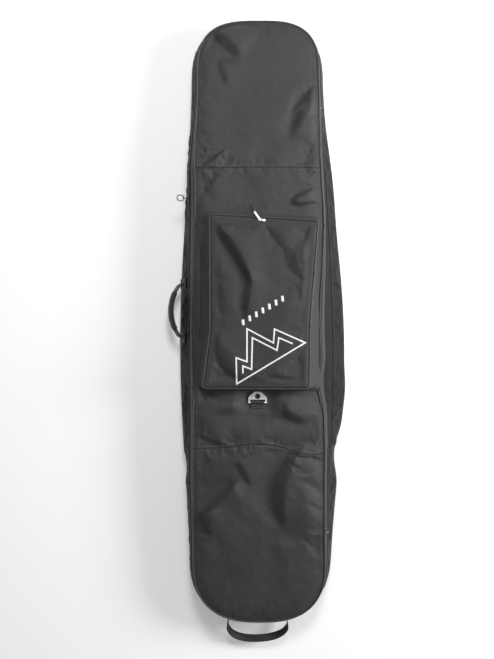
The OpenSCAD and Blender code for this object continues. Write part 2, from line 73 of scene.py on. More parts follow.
BAND_LOW, BAND_HIGH = box_mm("lid_side_band")
NOSE, TAIL = BAND_HIGH[1] + 0.2, BAND_LOW[1] - 0.2
NOSE_ROUND, TAIL_ROUND = NOSE - 152, TAIL + 167
LID_H = box_mm("front_panel_middle")[1][2]
NOSE_SEAM = box_mm("front_panel_nose")[0][1]
TAIL_SEAM = box_mm("front_panel_tail")[1][1]
END_DROP = 25
CORNER, NOSE_CORNER = 2.6, 3.1      # squareness of the rounded tail and nose
ZIP_S, CHEEK_S = 23, 35             # distances below the lid's edge: zipper line, top of the gusset
FOOT_Z = 20                         # the wall is widest at this height
RUN_END = 380
LEFT_HALF, RIGHT_HALF = 180, 167
HINGE_FROM, HINGE_TO = -564, 572    # the hinge's fabric along the right side
CLOTH, THIN_CLOTH, RIM_CLOTH = 1.2, 1.1, 0.5
STITCH_PITCH = 4.2


def bell(y, centre, span):
    t = (y - centre) / span
    return np.where(np.abs(t) < 1, np.cos(np.pi / 2 * np.clip(t, -1, 1)) ** 2, 0)


def smooth(t):
    u = np.clip(t, 0, 1)
    return u * u * (3 - 2 * u)


def drop(y):
    nose = -END_DROP * np.clip((y - NOSE_SEAM) / (NOSE - NOSE_SEAM), 0, 1)
    tail = -END_DROP * np.clip((TAIL_SEAM - y) / (TAIL_SEAM - TAIL), 0, 1)
    return nose + tail


def lid_right(y):
    pinch = 7 * bell(y, 270, 190) - 8 * bell(y, -20, 170) - 16 * bell(y, -165, 85) + 2 * bell(y, -330, 110)
    return RIGHT_HALF - y / 80 + pinch


def lid_left(y):
    return LEFT_HALF - 11 * smooth((y - RUN_END) / 240) - 6 * bell(y, 330, 170) + 4 * bell(y, 20, 210)


def full_right(y):
    return RIGHT_HALF + 15 - y / 80 + 50 * bell(y, -60, 760)


def base_half(y):
    right = full_right(y) + (-15 * bell(y, -355, 95) + 4 * bell(y, -185, 90) + 6 * bell(y, 400, 200))
    return right, LEFT_HALF + 7 + 32 * bell(y, -60, 760) - 5 * bell(y, -390, 60)


def zip_right(y):
    plain = RIGHT_HALF - y / 80
    return plain + 0.29 * (full_right(y) - plain)


def zip_left(y):
    return LEFT_HALF + 9 - 15 * smooth((y - RUN_END) / 240) - 4 * smooth((-400 - y) / 240)


def cheek_half(y, s):
    """Half widths, right and left, of the upper wall at a distance s below the lid's edge."""
    t = s / ZIP_S
    right = lid_right(y) + (zip_right(y) - lid_right(y)) * t
    left = lid_left(y) + (zip_left(y) - lid_left(y)) * t
    if s > ZIP_S:
        right = zip_right(y) + (zip_right(y) - (RIGHT_HALF - y / 80)) * (t - 1)
        left = zip_left(y) + 9 * (t - 1)
    return right, left


# ----- Small vector tools -----

def unit(vectors):
    return vectors / np.maximum(np.linalg.norm(vectors, axis=-1, keepdims=True), 1e-9)


def arc_length(points):
    return np.concatenate([[0], np.cumsum(np.linalg.norm(np.diff(points, axis=0), axis=1))])


def along_path(at, arc, points):
    return np.stack([np.interp(at, arc, column) for column in points.T], 1)


def spaced(points, count):
    """A path again as count evenly spaced points."""
    arc = arc_length(points)
    return along_path(np.linspace(0, arc[-1], count), arc, points)


def resample(points, spacing, closed=False):
    points = np.asarray(points, float)
    if closed:
        points = np.concatenate([points, points[:1]])
    count = max(2, int(round(arc_length(points)[-1] / spacing)) + 1)
    return spaced(points, count)[:-1 if closed else None]


def fractal(axes, scale, seed, octaves=3):
    """Smooth noise over three coordinates that broadcast together, about -1 to 1."""
    points = np.stack(np.broadcast_arrays(*axes), -1)
    shift = Vector((seed * 17.3, seed * 5.1, seed * 9.7))
    values = [noise.fractal(Vector(p) + shift, 1, 2, octaves) for p in points.reshape(-1, 3) / scale]
    return np.array(values).reshape(points.shape[:-1])


def creased(axes, scale, seed):
    """Noise with sharp ridges, like crumpled cloth, about -1 to 1."""
    return 1 - 2.6 * np.abs(fractal(axes, scale, seed, 2))


# ----- Closed outlines round the bag -----

def end_rows(start, tip, turn):
    """Rows of a rounded end, and the share of the width that each takes, at turns from 0 to a right angle."""
    power = 2 / (NOSE_CORNER if tip > 0 else CORNER)
    return start + (tip - start) * np.sin(turn) ** power, np.maximum(np.cos(turn), 0) ** power


def whole_rows(inset, side, turn):
    """Rows of the whole bag, and the share of the width that each takes."""
    tail, nose = end_rows(TAIL_ROUND, TAIL + inset, turn), end_rows(NOSE_ROUND, NOSE - inset, turn)
    return (np.concatenate([tail[0][::-1], side, nose[0]]),
            np.concatenate([tail[1][::-1], np.ones(len(side)), nose[1]]))


def dense_loop(halves, d, height):
    ys, fs = whole_rows(d, np.linspace(TAIL_ROUND, NOSE_ROUND, 420), np.linspace(0, np.pi / 2, 90)[1:])
    right, left = halves(ys)
    zs = height(ys)
    going = np.stack([(right - d) * fs, ys, zs], 1)
    coming = np.stack([-(left - d) * fs, ys, zs], 1)[-2:0:-1]
    return np.concatenate([going, coming])


REFERENCE = dense_loop(lambda y: cheek_half(y, 0), 0, lambda y: LID_H + drop(y))
ARC = arc_length(np.concatenate([REFERENCE, REFERENCE[:1]]))
PERIMETER = ARC[-1]


def at_arc(loop, arc):
    closed = np.concatenate([loop, loop[:1]])
    index = np.interp(np.mod(arc, PERIMETER), ARC, np.arange(len(ARC)))
    return along_path(index, np.arange(len(closed)), closed)


def cheek(s, d, arc):
    """Points round the upper wall, s below the lid's edge and d inwards."""
    return at_arc(dense_loop(lambda y: cheek_half(y, s), d, lambda y: LID_H + drop(y) - s), arc)


def cheeks(levels, arc):
    return np.stack([cheek(s, d, arc) for s, d in levels])


def foot(z, d, arc):
    """Points round the base's outline at a height z, d inwards."""
    return at_arc(dense_loop(base_half, d, lambda y: z + 0 * y), arc)


def arc_of(y, right):
    half = len(REFERENCE) // 2 + 1
    index = np.interp(y, REFERENCE[:half, 1], np.arange(half))
    return float(np.interp(index if right else len(REFERENCE) - index, np.arange(len(ARC)), ARC))


def around(count):
    return np.linspace(0, PERIMETER, count, endpoint=False)


ZIP_FROM, ZIP_TO = arc_of(HINGE_TO, True), arc_of(HINGE_FROM, True) + PERIMETER


# ----- Meshes -----

def new_object(name, verts, faces, mat, uvs=None):
    mesh = bpy.data.meshes.new(name)
    faces = faces.tolist() if isinstance(faces, np.ndarray) else faces
    mesh.from_pydata((np.asarray(verts, float) * MM).tolist(), [], faces)
    if uvs is not None:
        loops = np.zeros(len(mesh.loops), int)
        mesh.loops.foreach_get("vertex_index", loops)
        mesh.uv_layers.new(name="cloth").data.foreach_set("uv", (uvs[loops] * MM).ravel())
    mesh.materials.append(mat)
    mesh.update()
    mesh.polygons.foreach_set("use_smooth", [True] * len(mesh.polygons))
    obj = bpy.data.objects.new(name, mesh)
    bpy.context.scene.collection.objects.link(obj)
    return obj


def fit(obj, body, slot, *nodes):
    """Puts a piece on its body, in place of the CAD nodes it stands for."""
    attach(obj, body)
    if nodes:
        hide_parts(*nodes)


def fit_blend(obj, bodies, start, end, slot, *nodes):
    """For cloth between two bodies: bakes its transform into its mesh and hides the CAD nodes it stands for.
    """
    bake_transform(obj)
    if nodes:
        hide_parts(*nodes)


def lattice(rows, cols, closed_rows=False, closed_cols=False):
    """Vertex numbers of a grid; where it closes, its first row or column comes again at the end."""
    return np.pad(np.arange(rows * cols).reshape(rows, cols), ((0, closed_rows), (0, closed_cols)), "wrap")


def quads(index):
    return np.stack([index[:-1, :-1], index[:-1, 1:], index[1:, 1:], index[1:, :-1]], -1).reshape(-1, 4)


def grid_uv(grid):
    along, down = (np.cumsum(np.linalg.norm(np.diff(grid, axis=k, prepend=grid.take([0], k)), axis=2), k)
                   for k in (1, 0))
    return np.stack([along, down], -1).reshape(-1, 2)


def normals_of(grid):
    return unit(np.cross(np.gradient(grid, axis=1), np.gradient(grid, axis=0)))


def facing_up(grid):
    return grid if normals_of(grid)[..., 2].mean() > 0 else grid[::-1]


def sheet(name, grid, thick, mat, closed=False):
    """A sheet of cloth with its second side thick below it, and closed edges."""
    rows, cols = grid.shape[:2]
    size = rows * cols
    index = lattice(rows, cols, False, closed)
    top = quads(index)
    borders = [index[0, ::-1], index[-1]] + ([] if closed else [index[:, 0], index[::-1, -1]])
    edges = [np.stack([p[:-1], p[1:], size + p[1:], size + p[:-1]], 1) for p in borders]
    verts = np.concatenate([grid, grid - normals_of(grid) * thick]).reshape(-1, 3)
    faces = np.concatenate([top, top[:, ::-1] + size, *edges])
    return new_object(name, verts, faces, mat, np.tile(grid_uv(grid), (2, 1)))


def wall_sign(grid):
    """+1 if the grid's normals point away from the middle of the bag, else -1."""
    outward = (grid - grid.mean((0, 1)))[..., :2]
    return 1 if np.sum(normals_of(grid)[..., :2] * outward) > 0 else -1


def wall_sheet(name, grid, thick, mat, closed=True, way=1):
    """A wall's sheet with its thickness on the inner side, or on the outer side where way is -1."""
    return sheet(name, grid if wall_sign(grid) == way else grid[::-1], thick, mat, closed)


def cord(name, path, radius, sides=12):
    """A round piping cord along a closed path of points."""
    tangent = unit(np.roll(path, -1, 0) - np.roll(path, 1, 0))
    side = unit(np.cross(tangent, UP))
    rise = np.cross(side, tangent)
    radius = radius + np.zeros(len(path))
    angles = np.linspace(0, 2 * np.pi, sides, endpoint=False)
    round_it = np.cos(angles)[:, None] * side[:, None] + np.sin(angles)[:, None] * rise[:, None]
    rings = path[:, None] + radius[:, None, None] * round_it
    uv = np.stack([np.repeat(arc_length(path), sides), np.tile(angles * radius.mean(), len(path))], 1)
    faces = quads(lattice(len(path), sides, True, True))
    return new_object(name, rings.reshape(-1, 3), faces, PIPING_CLOTH, uv)


def capped_tube(name, rings, mat, uv):
    index = lattice(*rings.shape[:2], False, True)
    faces = quads(index).tolist() + [index[0, :-1].tolist(), index[-1, -2::-1].tolist()]
    return new_object(name, rings.reshape(-1, 3), faces, mat, uv)


def rounded_box(length, width, height, bevel):
    """A small bar with bevelled edges, lying along its X."""
    verts, end = [], length / 2
    for x, cut in ((-end, bevel), (-end + bevel, 0), (end - bevel, 0), (end, bevel)):
        w, h, b = width / 2 - cut, height / 2 - cut, bevel
        ring = [(w - b, -h), (w, -h + b), (w, h - b), (w - b, h)]
        verts += [(x, a, c) for a, c in ring + [(-a, -c) for a, c in ring]]
    faces = quads(lattice(4, 8, False, True)).tolist()
    return np.array(verts), faces + [list(range(8))[::-1], list(range(24, 32))]


STITCH = rounded_box(3, 0.75, 0.6, 0.18)


def stamped(name, shape, frames, mat):
    """Copies of a small shape (verts, faces) at frames (origin, x axis, y axis, z axis)."""
    verts, faces = shape
    origin, *axes = frames
    placed = origin[:, None] + sum(verts[None, :, k:k + 1] * axes[k][:, None] for k in range(3))
    copies = [[i + k * len(verts) for i in face] for k in range(len(origin)) for face in faces]
    return new_object(name, placed.reshape(-1, 3), copies, mat)


def frames_along(points, outward):
    """Frames along a row of points: x along the row, z outward."""
    tangent = unit(np.gradient(points, axis=0))
    out = unit(outward - tangent * np.sum(outward * tangent, 1, keepdims=True))
    return points, tangent, np.cross(out, tangent), out


def sew(name, frames, body):
    """One stitch at each frame."""
    fit(stamped(name, STITCH, frames, THREAD), body, "binding")


# ----- Materials -----

class Finish:
    """A procedural material. Each method adds one node and returns its output."""

    def __init__(self, name, roughness=0.6, metallic=0, specular=0.3, sheen=0):
        self.mat = bpy.data.materials.new(name)
        self.mat.use_nodes = True
        self.tree = self.mat.node_tree
        self.shader = self.tree.nodes["Principled BSDF"]
        for key, value in (("Roughness", roughness), ("Metallic", metallic), ("Specular IOR Level", specular),
                           ("Sheen Weight", sheen), ("Sheen Roughness", 0.45)):
            self.set(key, value)
        self.uv = self.add("ShaderNodeUVMap", {}, uv_map="cloth")
        self.at = self.add("ShaderNodeTexCoord", {}, output="Object")

    def feed(self, socket, value):
        if isinstance(value, bpy.types.NodeSocket):
            self.tree.links.new(value, socket)
        else:
            socket.default_value = value

    def set(self, name, value):
        self.feed(self.shader.inputs[name], value)

    def done(self, colour, normal, roughness=None):
        self.set("Base Color", colour)
        self.set("Normal", normal)
        if roughness is not None:
            self.set("Roughness", roughness)
        return self.mat

    def add(self, kind, inputs, output=0, **settings):
        node = self.tree.nodes.new(kind)
        for key, value in settings.items():
            setattr(node, key, value)
        for key, value in inputs.items():
            self.feed(node.inputs[key], value)
        return node.outputs[output]

    def math(self, operation, a, b=0):
        return self.add("ShaderNodeMath", {0: a, 1: b}, operation=operation)

    def times(self, a, b):
        return self.math("MULTIPLY", a, b)

    def noise(self, scale, detail=3, rough=0.55, over=None):
        return self.add("ShaderNodeTexNoise", {"Vector": over or self.at, "Scale": scale, "Detail": detail,
                                               "Roughness": rough})

    def span(self, value, low=0, high=1, to_low=0, to_high=1):
        return self.add("ShaderNodeMapRange", {"Value": value, "From Min": low, "From Max": high,
                                               "To Min": to_low, "To Max": to_high})

    def patches(self, scale, low, high, detail=3, rough=0.55, over=None):
        """Noise of a scale, spread from 0 at low to 1 at high."""
        return self.span(self.noise(scale, detail, rough, over), low, high)

    def mix(self, factor, a, b):
        return self.add("ShaderNodeMix", {0: factor, 6: a, 7: b}, 2, data_type="RGBA")

    def tint(self, base, mask, share, colour):
        """The base colour with a share of another where the mask is 1."""
        return self.mix(self.times(mask, share), base, colour)

    def bump(self, height, distance, strength=1, under=None):
        inputs = {"Height": height, "Distance": distance * MM, "Strength": strength}
        if under is not None:
            inputs["Normal"] = under
        return self.add("ShaderNodeBump", inputs)

    def split(self, vector):
        return self.add("ShaderNodeSeparateXYZ", {0: vector}).node.outputs

    def threads(self, pitch):
        """Plain weave of a pitch in mm: the height of the threads, each over and under in turn."""
        parts, k = self.split(self.uv), math.pi / (pitch * MM)
        warp, weft = (self.math("SINE", self.times(parts[axis], k)) for axis in (0, 1))
        over = self.math("GREATER_THAN", self.times(warp, weft), 0)
        tall = self.times(self.math("ABSOLUTE", warp), over)
        wide = self.times(self.math("ABSOLUTE", weft), self.math("SUBTRACT", 1, over))
        return self.math("ADD", tall, wide)

    def ribs(self, pitch, axis, power):
        wave = self.math("SINE", self.times(self.split(self.uv)[axis], math.pi / (pitch * MM)))
        return self.math("POWER", self.math("ABSOLUTE", wave), power)


def tone(value, warm=0):
    """A grey of a linear value, warmer above 0 and cooler below."""
    return (value * (1 + warm), value, value * (1 - warm), 1)


def woven(name, low, high, warm, pitch, bump, roughness, sheen, specular=0.5):
    """Woven polyester: threads, painted lighter where they stand highest as a painted highlight, broad
    shading, rubbed patches and a little lint.
    """
    f = Finish(name, specular=specular, sheen=sheen)
    weave, broad = f.threads(pitch), f.noise(7, 4)
    body = f.mix(f.span(broad, 0.3, 0.7), tone(low, warm), tone(high, warm))
    for mask, share, colour in (
            # painted highlight: the weave's raised threads are painted lighter than the hollows between them
            (f.span(weave, 0.2, 1), 0.35, tone(high * 1.35, warm)),
            (f.patches(900, 0.45, 0.75, 2, over=f.uv), 0.3, tone(low * 0.7, warm)),
            (f.patches(150, 0.4, 0.66, 6, 0.7, f.uv), 0.42, tone(low * 0.55, warm)),
            (f.patches(26, 0.62, 0.8, 5), 0.25, tone(high * 1.6, warm * 0.5)),
            (f.patches(420, 0.79, 0.83, 1), 0.35, tone(0.4))):
        body = f.tint(body, mask, share, colour)
    normal = f.bump(weave, bump, 0.8, f.bump(f.noise(60, 4), 0.5, 0.5))
    return f.done(body, normal, f.span(broad, 0.3, 0.7, roughness - 0.05, roughness + 0.07))


def ribbed(name, low, high, pitch, roughness):
    """Woven tape or webbing, its ribs across it, their crowns painted lighter as a painted highlight."""
    f = Finish(name, specular=0.35, sheen=0.25)
    rib, yarn = f.ribs(pitch, 0, 0.6), f.threads(pitch * 0.5)
    # painted highlight: the ribs' crowns are painted lighter than the hollows between them
    shade = f.tint(f.mix(f.patches(30, 0.3, 0.7), tone(low), tone(high)), rib, 0.4, tone(high * 1.3))
    normal = f.bump(yarn, 0.12, 0.6, f.bump(rib, 0.35, 0.8))
    return f.done(shade, normal, f.span(rib, 0, 1, roughness + 0.12, roughness))


def coil():
    """Moulded zipper teeth, a little dusty."""
    f = Finish("coil_teeth", specular=0.5)
    dust = f.patches(90, 0.5, 0.75, 4)
    return f.done(f.tint(tone(0.012), dust, 0.35, tone(0.06, 0.05)), f.bump(f.noise(900), 0.06, 0.5),
                  f.span(dust, 0, 1, 0.28, 0.55))


def metal():
    """Plated metal with fine scratches and dulled patches."""
    f = Finish("nickel_plate", metallic=0.5, specular=0.6)
    stretched = f.add("ShaderNodeMapping",
                      {"Vector": f.at, "Scale": (1, 0.08, 1), "Rotation": (0, 0, 0.5)})
    scratch, dull = f.patches(1400, 0.55, 0.7, 2, over=stretched), f.patches(70, 0.4, 0.7, 4)
    return f.done(f.mix(dull, (0.88, 0.88, 0.87, 1), (0.62, 0.61, 0.6, 1)),
                  f.bump(scratch, 0.03, 0.4, f.bump(dull, 0.05, 0.3)),
                  f.math("ADD", f.span(dull, 0, 1, 0.3, 0.46), f.times(scratch, 0.12)))


def dark_metal():
    """Black enamel on metal, rubbed bright in places."""
    f = Finish("black_enamel", specular=0.5)
    rubbed = f.patches(320, 0.64, 0.7, 4)
    f.set("Metallic", rubbed)
    return f.done(f.mix(rubbed, tone(0.014), tone(0.35)), f.bump(f.noise(700, 2), 0.03, 0.4),
                  f.span(f.noise(120), 0.3, 0.7, 0.28, 0.45))


def foam():
    f = Finish("open_foam", roughness=0.95, specular=0.1)
    pores = f.add("ShaderNodeTexVoronoi", {"Vector": f.at, "Scale": 700})
    # painted shade: the hollows of the pores are painted darker
    return f.done(f.mix(f.span(pores, 0.1, 0.6), tone(0.09), tone(0.22)), f.bump(pores, 0.4, 0.8))


def ripstop():
    """Thin lining: a fine weave with a thicker thread every few millimetres, the thicker threads painted
    lighter as a painted highlight.
    """
    f = Finish("ripstop_lining", specular=0.4, sheen=0.2)
    grid = f.math("MAXIMUM", f.ribs(5, 0, 24), f.ribs(5, 1, 24))
    shade = f.mix(f.patches(12, 0.3, 0.7), tone(0.075, -0.06), tone(0.11, -0.06))
    normal = f.bump(f.threads(0.4), 0.05, 0.5, f.bump(grid, 0.2, 0.8))
    # painted highlight: the thicker threads of the grid are painted lighter
    return f.done(f.tint(shade, grid, 0.5, tone(0.18, -0.06)), normal, f.span(grid, 0, 1, 0.45, 0.6))


def braid():
    """Braided cord: strands crossing in two directions, painted darker in the grooves between them as painted
    shade.
    """
    f = Finish("braided_cord", specular=0.35, sheen=0.2)
    parts, k = f.split(f.at), math.pi / (1.2 * MM)
    one = f.math("SINE", f.times(f.math("ADD", parts[0], parts[1]), k))
    two = f.math("SINE", f.times(f.math("SUBTRACT", parts[1], parts[2]), k))
    strands = f.math("ABSOLUTE", f.times(one, two))
    # painted shade: the grooves between the strands are painted darker
    return f.done(f.mix(strands, tone(0.008), tone(0.035)), f.bump(strands, 0.25, 0.8))


def ink():
    """Screen print: off-white, thin in places so that the weave shows."""
    f = Finish("screen_print", specular=0.35)
    worn = f.patches(240, 0.56, 0.72, 5)
    colour = f.tint(tone(0.86, 0.01), worn, 0.35, tone(0.35))
    return f.done(colour, f.bump(f.threads(0.8), 0.08, 0.7), f.span(worn, 0, 1, 0.5, 0.7))


FRONT_CLOTH = woven("front_cloth", 0.03, 0.043, 0.01, 0.8, 0.16, 0.56, 0.08, 0.42)
# painted shade: the wall cloth's colour is painted about four times darker than the front cloth's, for the
# walls that turn away from the light
SHADED_WALL_CLOTH = woven("wall_cloth", 0.006, 0.010, -0.06, 0.8, 0.16, 0.52, 0, 0.2)
BACK_CLOTH = woven("back_cloth", 0.024, 0.034, -0.02, 1.1, 0.25, 0.6, 0.05)
POCKET_CLOTH = woven("pocket_cloth", 0.024, 0.034, -0.05, 0.8, 0.16, 0.56, 0.06, 0.4)
PIPING_CLOTH = woven("piping_cloth", 0.036, 0.052, 0, 0.7, 0.12, 0.42, 0.12)
TAPE = ribbed("zip_tape_twill", 0.03, 0.045, 0.9, 0.6)
WEBBING = ribbed("ribbed_webbing", 0.012, 0.022, 1.8, 0.55)
GRIP_CLOTH = woven("grip_cloth", 0.03, 0.045, 0.1, 1.4, 0.35, 0.65, 0.1)
THREAD = ribbed("sewing_thread", 0.09, 0.13, 0.5, 0.5)
TEETH, NICKEL, ENAMEL, FOAM = coil(), metal(), dark_metal(), foam()
LINING, CORD, INK = ripstop(), braid(), ink()


# ----- Surface of the lid -----

CROWN, EDGE_SOFT = 7.5, 26
FOLD_GAIN, FOLD_SOFT = 1.5, 0.13
FOAM_SOFT = 1.2                     # how softly a valley bottoms out on the foam
SEAMS = [(0.3, 1.6), (1.3, 3.5)]    # depth and half width of the seams towards the nose and the tail

LID_FOLDS = [
    # from x, y to x, y, width, rise, bow: the steep face looks to the right of travel
    (-124, 772, -54, 704, 28, 10), (-112, 690, -88, 632, 18, 4.5), (144, 624, 86, 556, 15, 8),
    (140, 604, 80, 490, 24, 9), (110, 560, 92, 520, 16, 3), (-92, 455, -150, 412, 9, 5),
    (-10, 650, -60, 520, 60, 3.5), (60, 440, -40, 410, 40, 3), (150, 470, 120, 395, 26, 4),
    (140, 352, 84, 322, 12, 6), (86, 306, 160, 316, 9, 5), (-150, 392, -120, 320, 26, 3.5),
    (-150, -238, 120, -258, 24, 6, 0.04), (-60, -212, -166, -246, 14, 4),
    (60, -214, 118, -268, 20, 5, -0.2), (-170, -300, -90, -330, 18, 3.5),
    (98, -332, 56, -540, 38, 15, -0.13), (92, -350, 176, -362, 12, 3.5), (-64, -424, -156, -516, 22, 10),
    (-158, -506, -132, -566, 20, 8), (-62, -372, -28, -430, 16, 5), (110, -440, 104, -600, 34, 3),
    (-100, -560, -60, -690, 44, 3.5), (40, -590, 70, -720, 36, 3), (-170, 300, -174, 60, 8, 3),
    (-172, 40, -168, -170, 8, 3),
]


def fold_height(x, y, x0, y0, x1, y1, width, rise, bow=0):
    """A fold: one steep face that looks to the right of travel, fading on both sides and at both ends."""
    length = math.hypot(x1 - x0, y1 - y0)
    ux, uy = (x1 - x0) / length, (y1 - y0) / length
    along = ((x - x0) * ux + (y - y0) * uy) / length
    arch = np.sin(np.pi * np.clip(along, 0, 1))
    across = ((y - y0) * ux - (x - x0) * uy - bow * length * arch) / (width * (0.55 + 0.45 * arch))
    fade = smooth((along + 0.1) / 0.3) * smooth((1.15 - along) / 0.4)
    beyond = np.maximum(np.abs(across) - 0.5, 0) / np.where(across < 0, 1.3, 2.4)
    face = 0.5 * (np.hypot(across + 0.5, FOLD_SOFT) - np.hypot(across - 0.5, FOLD_SOFT))
    return FOLD_GAIN * rise * fade * (face + 0.12) * np.exp(-beyond ** 2)


def edge_distance(x, y):
    """Distance from a point of the lid to its outline."""
    half = np.where(x > 0, lid_right(y), lid_left(y))
    wide = np.maximum(np.abs(x), 0.5)
    into_nose, into_tail = np.maximum(y - NOSE_ROUND, 0), np.maximum(TAIL_ROUND - y, 0)
    t = np.maximum(into_nose / (NOSE - NOSE_ROUND), into_tail / (TAIL_ROUND - TAIL))
    power = np.where(y > 0, NOSE_CORNER, CORNER)
    g = (t ** power + (wide / half) ** power) ** (1 / power)
    return np.maximum((1 / g - 1) * np.hypot(wide, into_nose + into_tail), 0)


def tail_seam(x):
    """The seam towards the tail dips and steps down on the right."""
    return TAIL_SEAM + 13 * np.exp(-((x + 10) / 75) ** 2) - 14 * smooth((x - 20) / 130)


def lid_top(x, y):
    """Height of the lid's cloth."""
    e = edge_distance(x, y)
    plain = LID_H + drop(y)
    z = plain - 1.8 + CROWN * (1 - np.exp(-e / EDGE_SOFT))
    under_pocket = smooth((138 - np.abs(x)) / 20) * smooth((y + 165) / 20) * smooth((275 - y) / 20)
    free = smooth(e / 30) * (1 - 0.8 * under_pocket)
    z = z + free * sum(fold_height(x, y, *fold) for fold in LID_FOLDS)
    at = x, y, 0
    z = z + free * (2.4 * fractal(at, 150, 3, 2) + 1.8 * creased(at, 150, 4) + 0.5 * creased(at, 50, 5))
    for away, seed, (dip, soft) in ((y - NOSE_SEAM, 8, SEAMS[0]), (y - tail_seam(x), 9, SEAMS[1])):
        pucker = 0.9 * fractal((x, 0, 0), 17, seed, 2)
        z = z - dip * np.exp(-np.abs(away) / soft) + pucker * free * np.exp(-np.abs(away) / 14)
    z = z + free * drape_at(LID_DRAPE, x, y)
    over_foam = FOAM_SOFT * np.logaddexp(0, (z - plain) / FOAM_SOFT)
    z = np.where(e > 8, plain + over_foam * smooth((e - 8) / 8) + (z - plain) * smooth((16 - e) / 8), z)
    under_tab = smooth((70 - np.abs(x + 7)) / 46) * smooth((58 - np.abs(y + 205)) / 36)
    return z - under_tab * np.maximum(z - (LID_H + 1.2), 0)


# ----- Cloth simulation -----

SIM_FRAMES = 22
LID_DRAPE = FRONT_DRAPE = WALL_DRAPE = None


def drape_at(drape, x, y):
    """Height change of a simulated cloth at points, or zero where there is none."""
    if drape is None:
        return 0
    x_axis, y_axis, heights = drape
    gx = np.clip((x - x_axis[0]) / (x_axis[1] - x_axis[0]), 0, len(x_axis) - 1.001)
    gy = np.clip((y - y_axis[0]) / (y_axis[1] - y_axis[0]), 0, len(y_axis) - 1.001)
    i, j = gx.astype(int), gy.astype(int)
    u, v = smooth(gx - i), smooth(gy - j)
    near = heights[j, i] * (1 - u) + heights[j, i + 1] * u
    far = heights[j + 1, i] * (1 - u) + heights[j + 1, i + 1] * u
    return near * (1 - v) + far * v


def settle(grid, pinned, pressure, grow, closed=False):
    """Lets a slightly oversized cloth settle between its pinned points, and returns how far they moved."""
    faces = quads(lattice(*grid.shape[:2], False, closed))
    cloth = new_object("settling_cloth", grid.reshape(-1, 3), faces, FRONT_CLOTH)
    cloth.vertex_groups.new(name="pinned").add(np.flatnonzero(pinned).tolist(), 1, "REPLACE")
    modifier = cloth.modifiers.new("cloth", "CLOTH")
    settings = modifier.settings
    settings.quality, settings.mass, settings.air_damping = 6, 0.2, 2
    settings.tension_stiffness = settings.compression_stiffness = 22
    settings.shear_stiffness, settings.bending_stiffness = 6, 0.15
    settings.vertex_group_mass, settings.shrink_min = "pinned", -grow
    settings.use_pressure, settings.uniform_pressure_force = True, pressure
    settings.effector_weights.gravity = 0
    modifier.collision_settings.use_collision = False
    modifier.point_cache.frame_start, modifier.point_cache.frame_end = 1, SIM_FRAMES
    for frame_number in range(1, SIM_FRAMES + 1):
        bpy.context.scene.frame_set(frame_number)
    settled = cloth.evaluated_get(bpy.context.evaluated_depsgraph_get()).data
    co = np.zeros(len(settled.vertices) * 3)
    settled.vertices.foreach_get("co", co)
    bpy.data.objects.remove(cloth)
    bpy.context.scene.frame_set(1)
    return co.reshape(grid.shape) / MM - grid


def capped(height, most):
    return most * np.tanh(height / most)


def settle_flat(x_axis, y_axis, surface, pressure, grow, most):
    x, y = np.meshgrid(x_axis, y_axis)
    z, pinned = surface(x, y)
    height = capped(settle(np.stack([x, y, z], 2), pinned, pressure, grow)[..., 2], most)
    height -= height[~pinned].mean() * 0.7
    return x_axis, y_axis, np.where(pinned, 0, height)


def lid_pinned(x, y):
    on_seam = (np.abs(y - NOSE_SEAM) < 5) | (np.abs(y - tail_seam(x)) < 5)
    return lid_top(x, y), (edge_distance(x, y) < 7) | on_seam


def front_pinned(x, y):
    v = y - FLAP_AXIS[1]
    return 130 + front_height(x, v), front_edge(x, v) < 5


def settle_walls():
    arc, share = np.arange(0, PERIMETER - 4, 9), np.linspace(0, 1, 12)
    grid = np.array(wall_rows(arc, share))
    pinned = np.zeros(grid.shape[:2], bool)
    pinned[[0, -1]] = True
    moved = settle(grid, pinned, 0, 0.035, closed=True)
    height = capped(np.sum(moved * outward_of(arc)[None], 2), 5)
    return np.append(arc, PERIMETER), share, np.concatenate([height, height[:, :1]], 1)


# ----- Lid -----

PANEL_INSET, PANEL_STEP = 3.4, 2.6
SEAM_GAP = 0.12


def near_tip(count):
    """Turns that stop just short of an end's tip."""
    return np.append(np.linspace(0, np.pi / 2, count + 1)[1:-1], np.pi / 2 * 0.992)


def across_bag(rows, narrow, halves, inset, count):
    """Points on rows across the bag."""
    right, left = ((half - inset) * narrow for half in halves)
    x = -left[:, None] + np.linspace(0, 1, count)[None] * (left + right)[:, None]
    return x, np.repeat(rows[:, None], count, 1)


